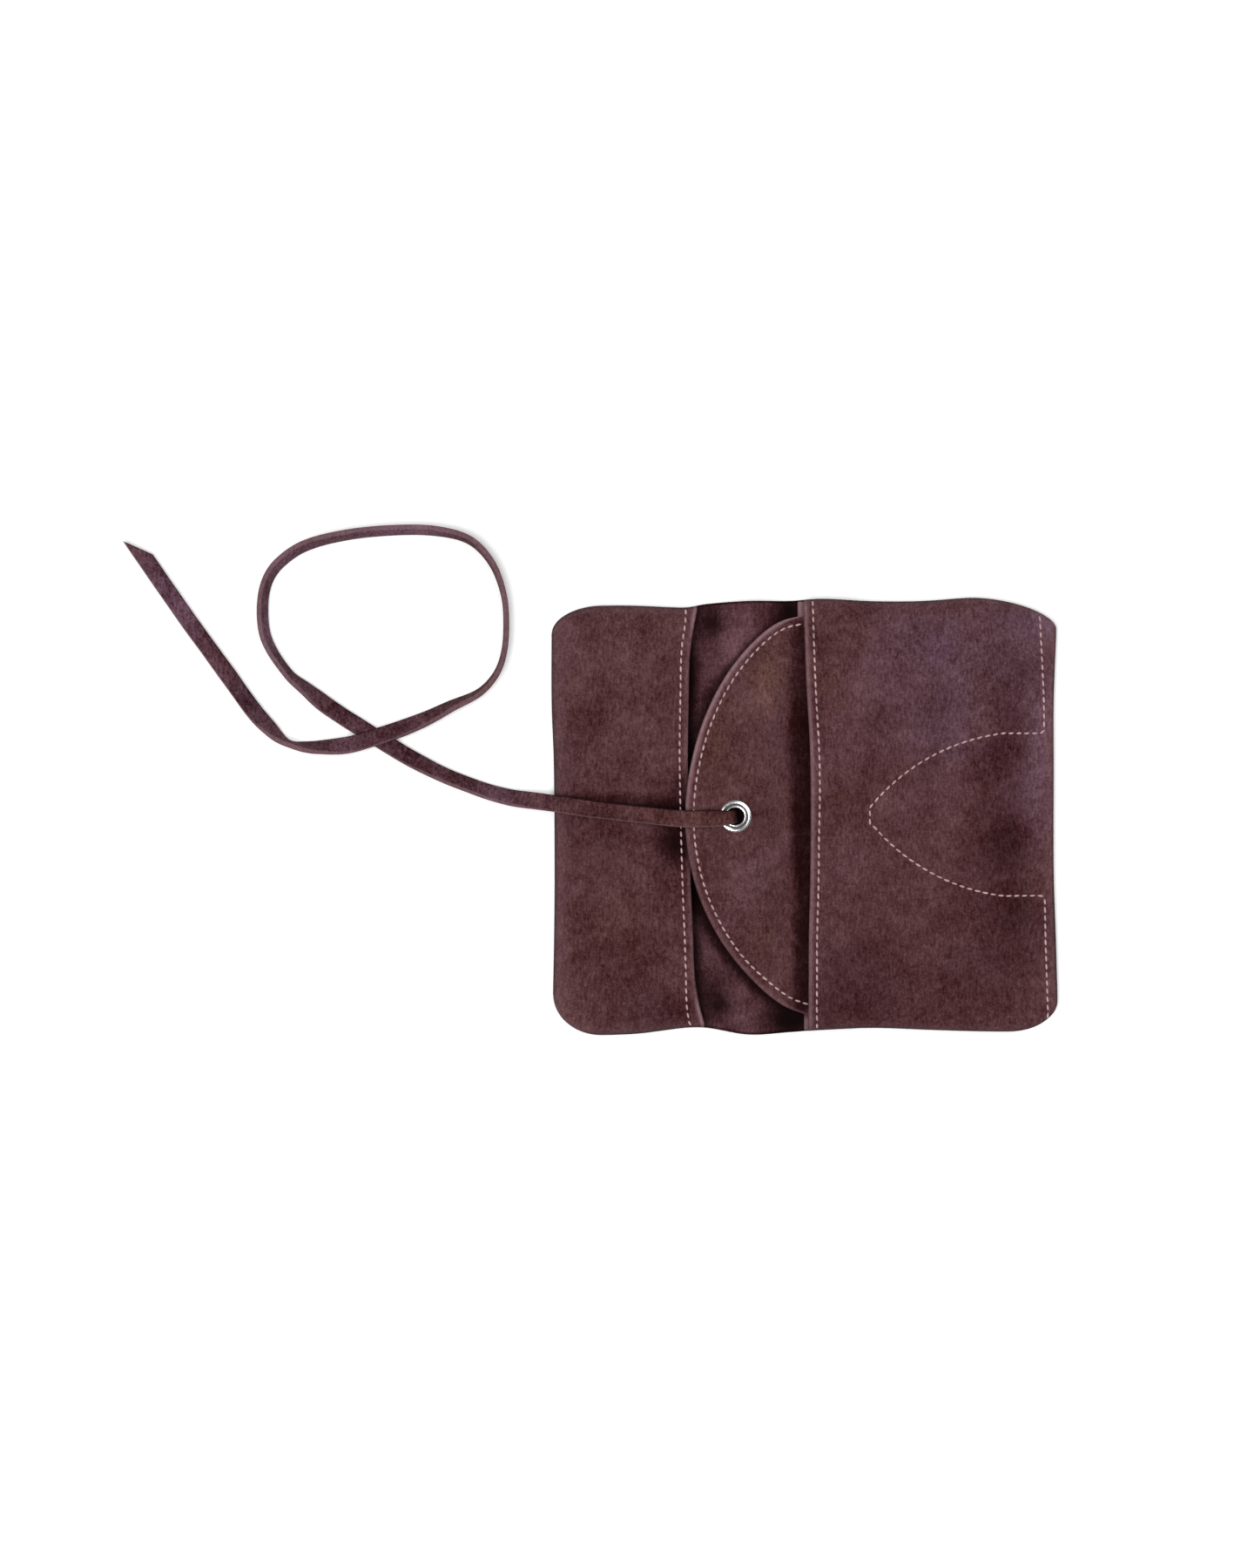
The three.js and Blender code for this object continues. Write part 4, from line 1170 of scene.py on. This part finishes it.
LACE_SUEDE = suede_material(
    "lace_suede",
    dark=(0.022, 0.0012, 0.0015), light=(0.149, 0.068, 0.066), rubbed=(0.20, 0.115, 0.13),
    plum=(0.191, 0.102, 0.144), olive=(0.231, 0.122, 0.085),
    mottle=0.8, speckle=1.2, nap_height=0.00016,
)
lace_length = reaches[-1].along
lace_count = round(lace_length / LACE_STEP)
stations = [lace_length * k / lace_count for k in range(lace_count + 1)]
frames = [lace_frame(along) for along in stations]
ring = lace_section()
bm = bmesh.new()
tone_layer = bm.verts.layers.float_color.new("suede_tone")
bmesh.ops.create_grid(bm, x_segments=lace_count, y_segments=len(ring), size=0.5)
for vert in bm.verts:
    station = round((vert.co.x + 0.5) * lace_count)
    point = ring[round((vert.co.y + 0.5) * len(ring)) % len(ring)]
    along = stations[station]
    middle, width, face = frames[station]
    cut = 1 + CUT_WANDER * noise.noise(Vector((along * CUT_WAVES, math.copysign(CUT_SIDE, point.x), 0)))
    vert.co = middle + graded(EYELET_PINCH, along) * cut * point.x * width + point.y * face
    cut_edge = smoothstep(abs(point.x), CUT_EDGE_FROM, CUT_EDGE_TO)
    # Painted light and shade on the cut edges: the one edge is pale, as worn and lit, and the other is
    # painted in shade.
    pale_share, cut_shade = (PALE_EDGE_RUB_AND_LIGHT, 0) if point.x > 0 else (0, DARK_EDGE_SHADE)
    shade = min(cut_shade * cut_edge, graded(LACE_HOLE_SHADE, along))
    vert[tone_layer] = suede_tone(LACE_PATCHES, vert.co.x, vert.co.y, pale_share * cut_edge, shade)
bmesh.ops.remove_doubles(bm, verts=bm.verts[:], dist=MERGE_DISTANCE)
tip_middle = LACE_TIP + LACE_TIP_SLANT / 2
beyond = Vector((-LACE_TIP_SLANT.y, LACE_TIP_SLANT.x, 0)).normalized()
near_tip = {v for v in bm.verts if (v.co - LACE_TIP).length < LACE_TIP_REACH}
tip_edges_and_faces = [part for part in bm.edges[:] + bm.faces[:] if near_tip.issuperset(part.verts)]
bmesh.ops.bisect_plane(bm, geom=[*near_tip, *tip_edges_and_faces], plane_co=tip_middle,
                       plane_no=beyond, clear_outer=True)
bmesh.ops.holes_fill(bm, edges=[e for e in bm.edges if e.is_boundary], sides=0)
bmesh.ops.recalc_face_normals(bm, faces=bm.faces[:])
lace = finished_piece("tie_lace", bm, LACE_SUEDE)


def shade_beside_lace(x, y):
    near, far = LACE_ROWS[1], LACE_ROWS[4]
    share = clamp((x - near.x) / (far.x - near.x))
    above = y - lerp(near.y, far.y, share) - LACE_WIDTH / 2
    return lerp(*LACE_SHADE, share) * falloff(above, lerp(*LACE_SHADE_REACH, share))


paint_shade(left_pocket, shade_beside_lace)
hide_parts("lace")


# Stopper knot: the lace's inner end tied in a tight lump of suede. It bears on the eyelet's washer from
# below, so that the lace can't be pulled out, and the flap hides it.
KNOT_RADIUS = 0.0046
KNOT_HEIGHT = 0.0048
KNOT_SQUARENESS = 0.55
KNOT_SIDES, KNOT_RINGS = 40, 24
KNOT_WRAPS, KNOT_WRAP_SLOPE = 3, 1.1
KNOT_GROOVE, KNOT_GROOVE_POWER, KNOT_GROOVE_SHADE = 0.10, 6, 2.5
knot_top = washer_top - WASHER_HEIGHT - PANEL_GAP
knot_middle = Vector((*EYELET_PLACE, knot_top - KNOT_HEIGHT / 2))
bm = bmesh.new()
tone_layer = bm.verts.layers.float_color.new("suede_tone")
bmesh.ops.create_uvsphere(bm, u_segments=KNOT_SIDES, v_segments=KNOT_RINGS, radius=1)
for vert in bm.verts:
    around = math.atan2(vert.co.y, vert.co.x)
    out = math.hypot(vert.co.x, vert.co.y) ** KNOT_SQUARENESS
    up = math.copysign(abs(vert.co.z) ** KNOT_SQUARENESS, vert.co.z)
    between_wraps = abs(math.sin(KNOT_WRAPS * KNOT_WRAP_SLOPE * vert.co.z + around)) ** KNOT_GROOVE_POWER
    groove = 1 - KNOT_GROOVE * out * between_wraps
    heading = Vector((math.cos(around), math.sin(around), 0))
    vert.co = knot_middle + groove * KNOT_RADIUS * out * heading + Vector((0, 0, up * KNOT_HEIGHT / 2))
    vert[tone_layer] = suede_tone([], 0, 0, shade=KNOT_GROOVE_SHADE * (groove - 1) + HOLE_SHADE)
knot = finished_piece("stopper_knot", bm, LACE_SUEDE)
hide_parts("lace_knot")
tuple(lace_middle(reaches[2].along))


# Table and light: a plain pale sweep that glows a little, so that it stays white. Two broad soft boxes, the
# stronger one towards the lace's side, and an even fill light it. The camera looks straight down.
PHOTO_HEIGHT = 0.576
VIEW_CENTRE = Vector((-0.0653, 0.0120))
POUCH_LEVEL = 0.004
LENS, SENSOR = 85.0, 36.0
FLOOR_SIZE = 6.0
FLOOR_GLOW = 0.20
SWEEP_DULL, SWEEP_BRIGHT = (0.94, 0.94, 0.94, 1), (0.96, 0.96, 0.96, 1)
SWEEP_ROUGHNESS = 0.9
SWEEP_GRAIN, SWEEP_DETAIL = 0.02, 3
WHITE = (1, 1, 1, 1)
LIGHT_AIM = (-0.05, 0, 0)
FILL_STRENGTH = 0.22


def pale_sweep():
    """Matt white paper with hardly any grain."""
    material, tree, shader = new_material("pale_sweep")
    coords = tree.nodes.new("ShaderNodeTexCoord").outputs["Object"]
    share = weighted_sum(tree, 0.5, [(grain_of(tree, coords, SWEEP_GRAIN, SWEEP_DETAIL), 1.0)])
    give_inputs(tree, shader, {
        "Base Color": mixed_colour(tree, share, SWEEP_DULL, SWEEP_BRIGHT),
        "Roughness": SWEEP_ROUGHNESS,
        "Emission Color": WHITE,
        "Emission Strength": FLOOR_GLOW,
    })
    return material


bm = bmesh.new()
bmesh.ops.create_grid(bm, x_segments=1, y_segments=1, size=FLOOR_SIZE / 2)
floor = new_object("floor", bm, pale_sweep())


def soft_light(name, place, aim, size, power):
    """A square soft box at a place, turned to face its aim."""
    lamp = bpy.data.lights.new(name, "AREA")
    lamp.shape = "SQUARE"
    lamp.size = size
    lamp.energy = power
    light = bpy.data.objects.new(name, lamp)
    light.location = place
    light.rotation_euler = (Vector(aim) - Vector(place)).to_track_quat("-Z", "Y").to_euler()
    bpy.context.scene.collection.objects.link(light)


soft_light("key_light", place=(-0.85, -0.50, 2.35), aim=LIGHT_AIM, size=1.5, power=50)
soft_light("fill_light", place=(0.90, 0.90, 2.30), aim=LIGHT_AIM, size=1.2, power=22)
world = bpy.data.worlds.new("even_fill")
world.use_nodes = True
sky = world.node_tree.nodes["Background"]
give_inputs(world.node_tree, sky, {"Color": WHITE, "Strength": FILL_STRENGTH})
bpy.context.scene.world = world
bpy.context.scene.view_settings.view_transform = "Standard"

lens = bpy.data.cameras.new("camera")
lens.lens = LENS
lens.sensor_width = SENSOR
camera = bpy.data.objects.new("camera", lens)
camera.location = (*VIEW_CENTRE, POUCH_LEVEL + PHOTO_HEIGHT * LENS / SENSOR)
bpy.context.scene.collection.objects.link(camera)
bpy.context.scene.camera = camera
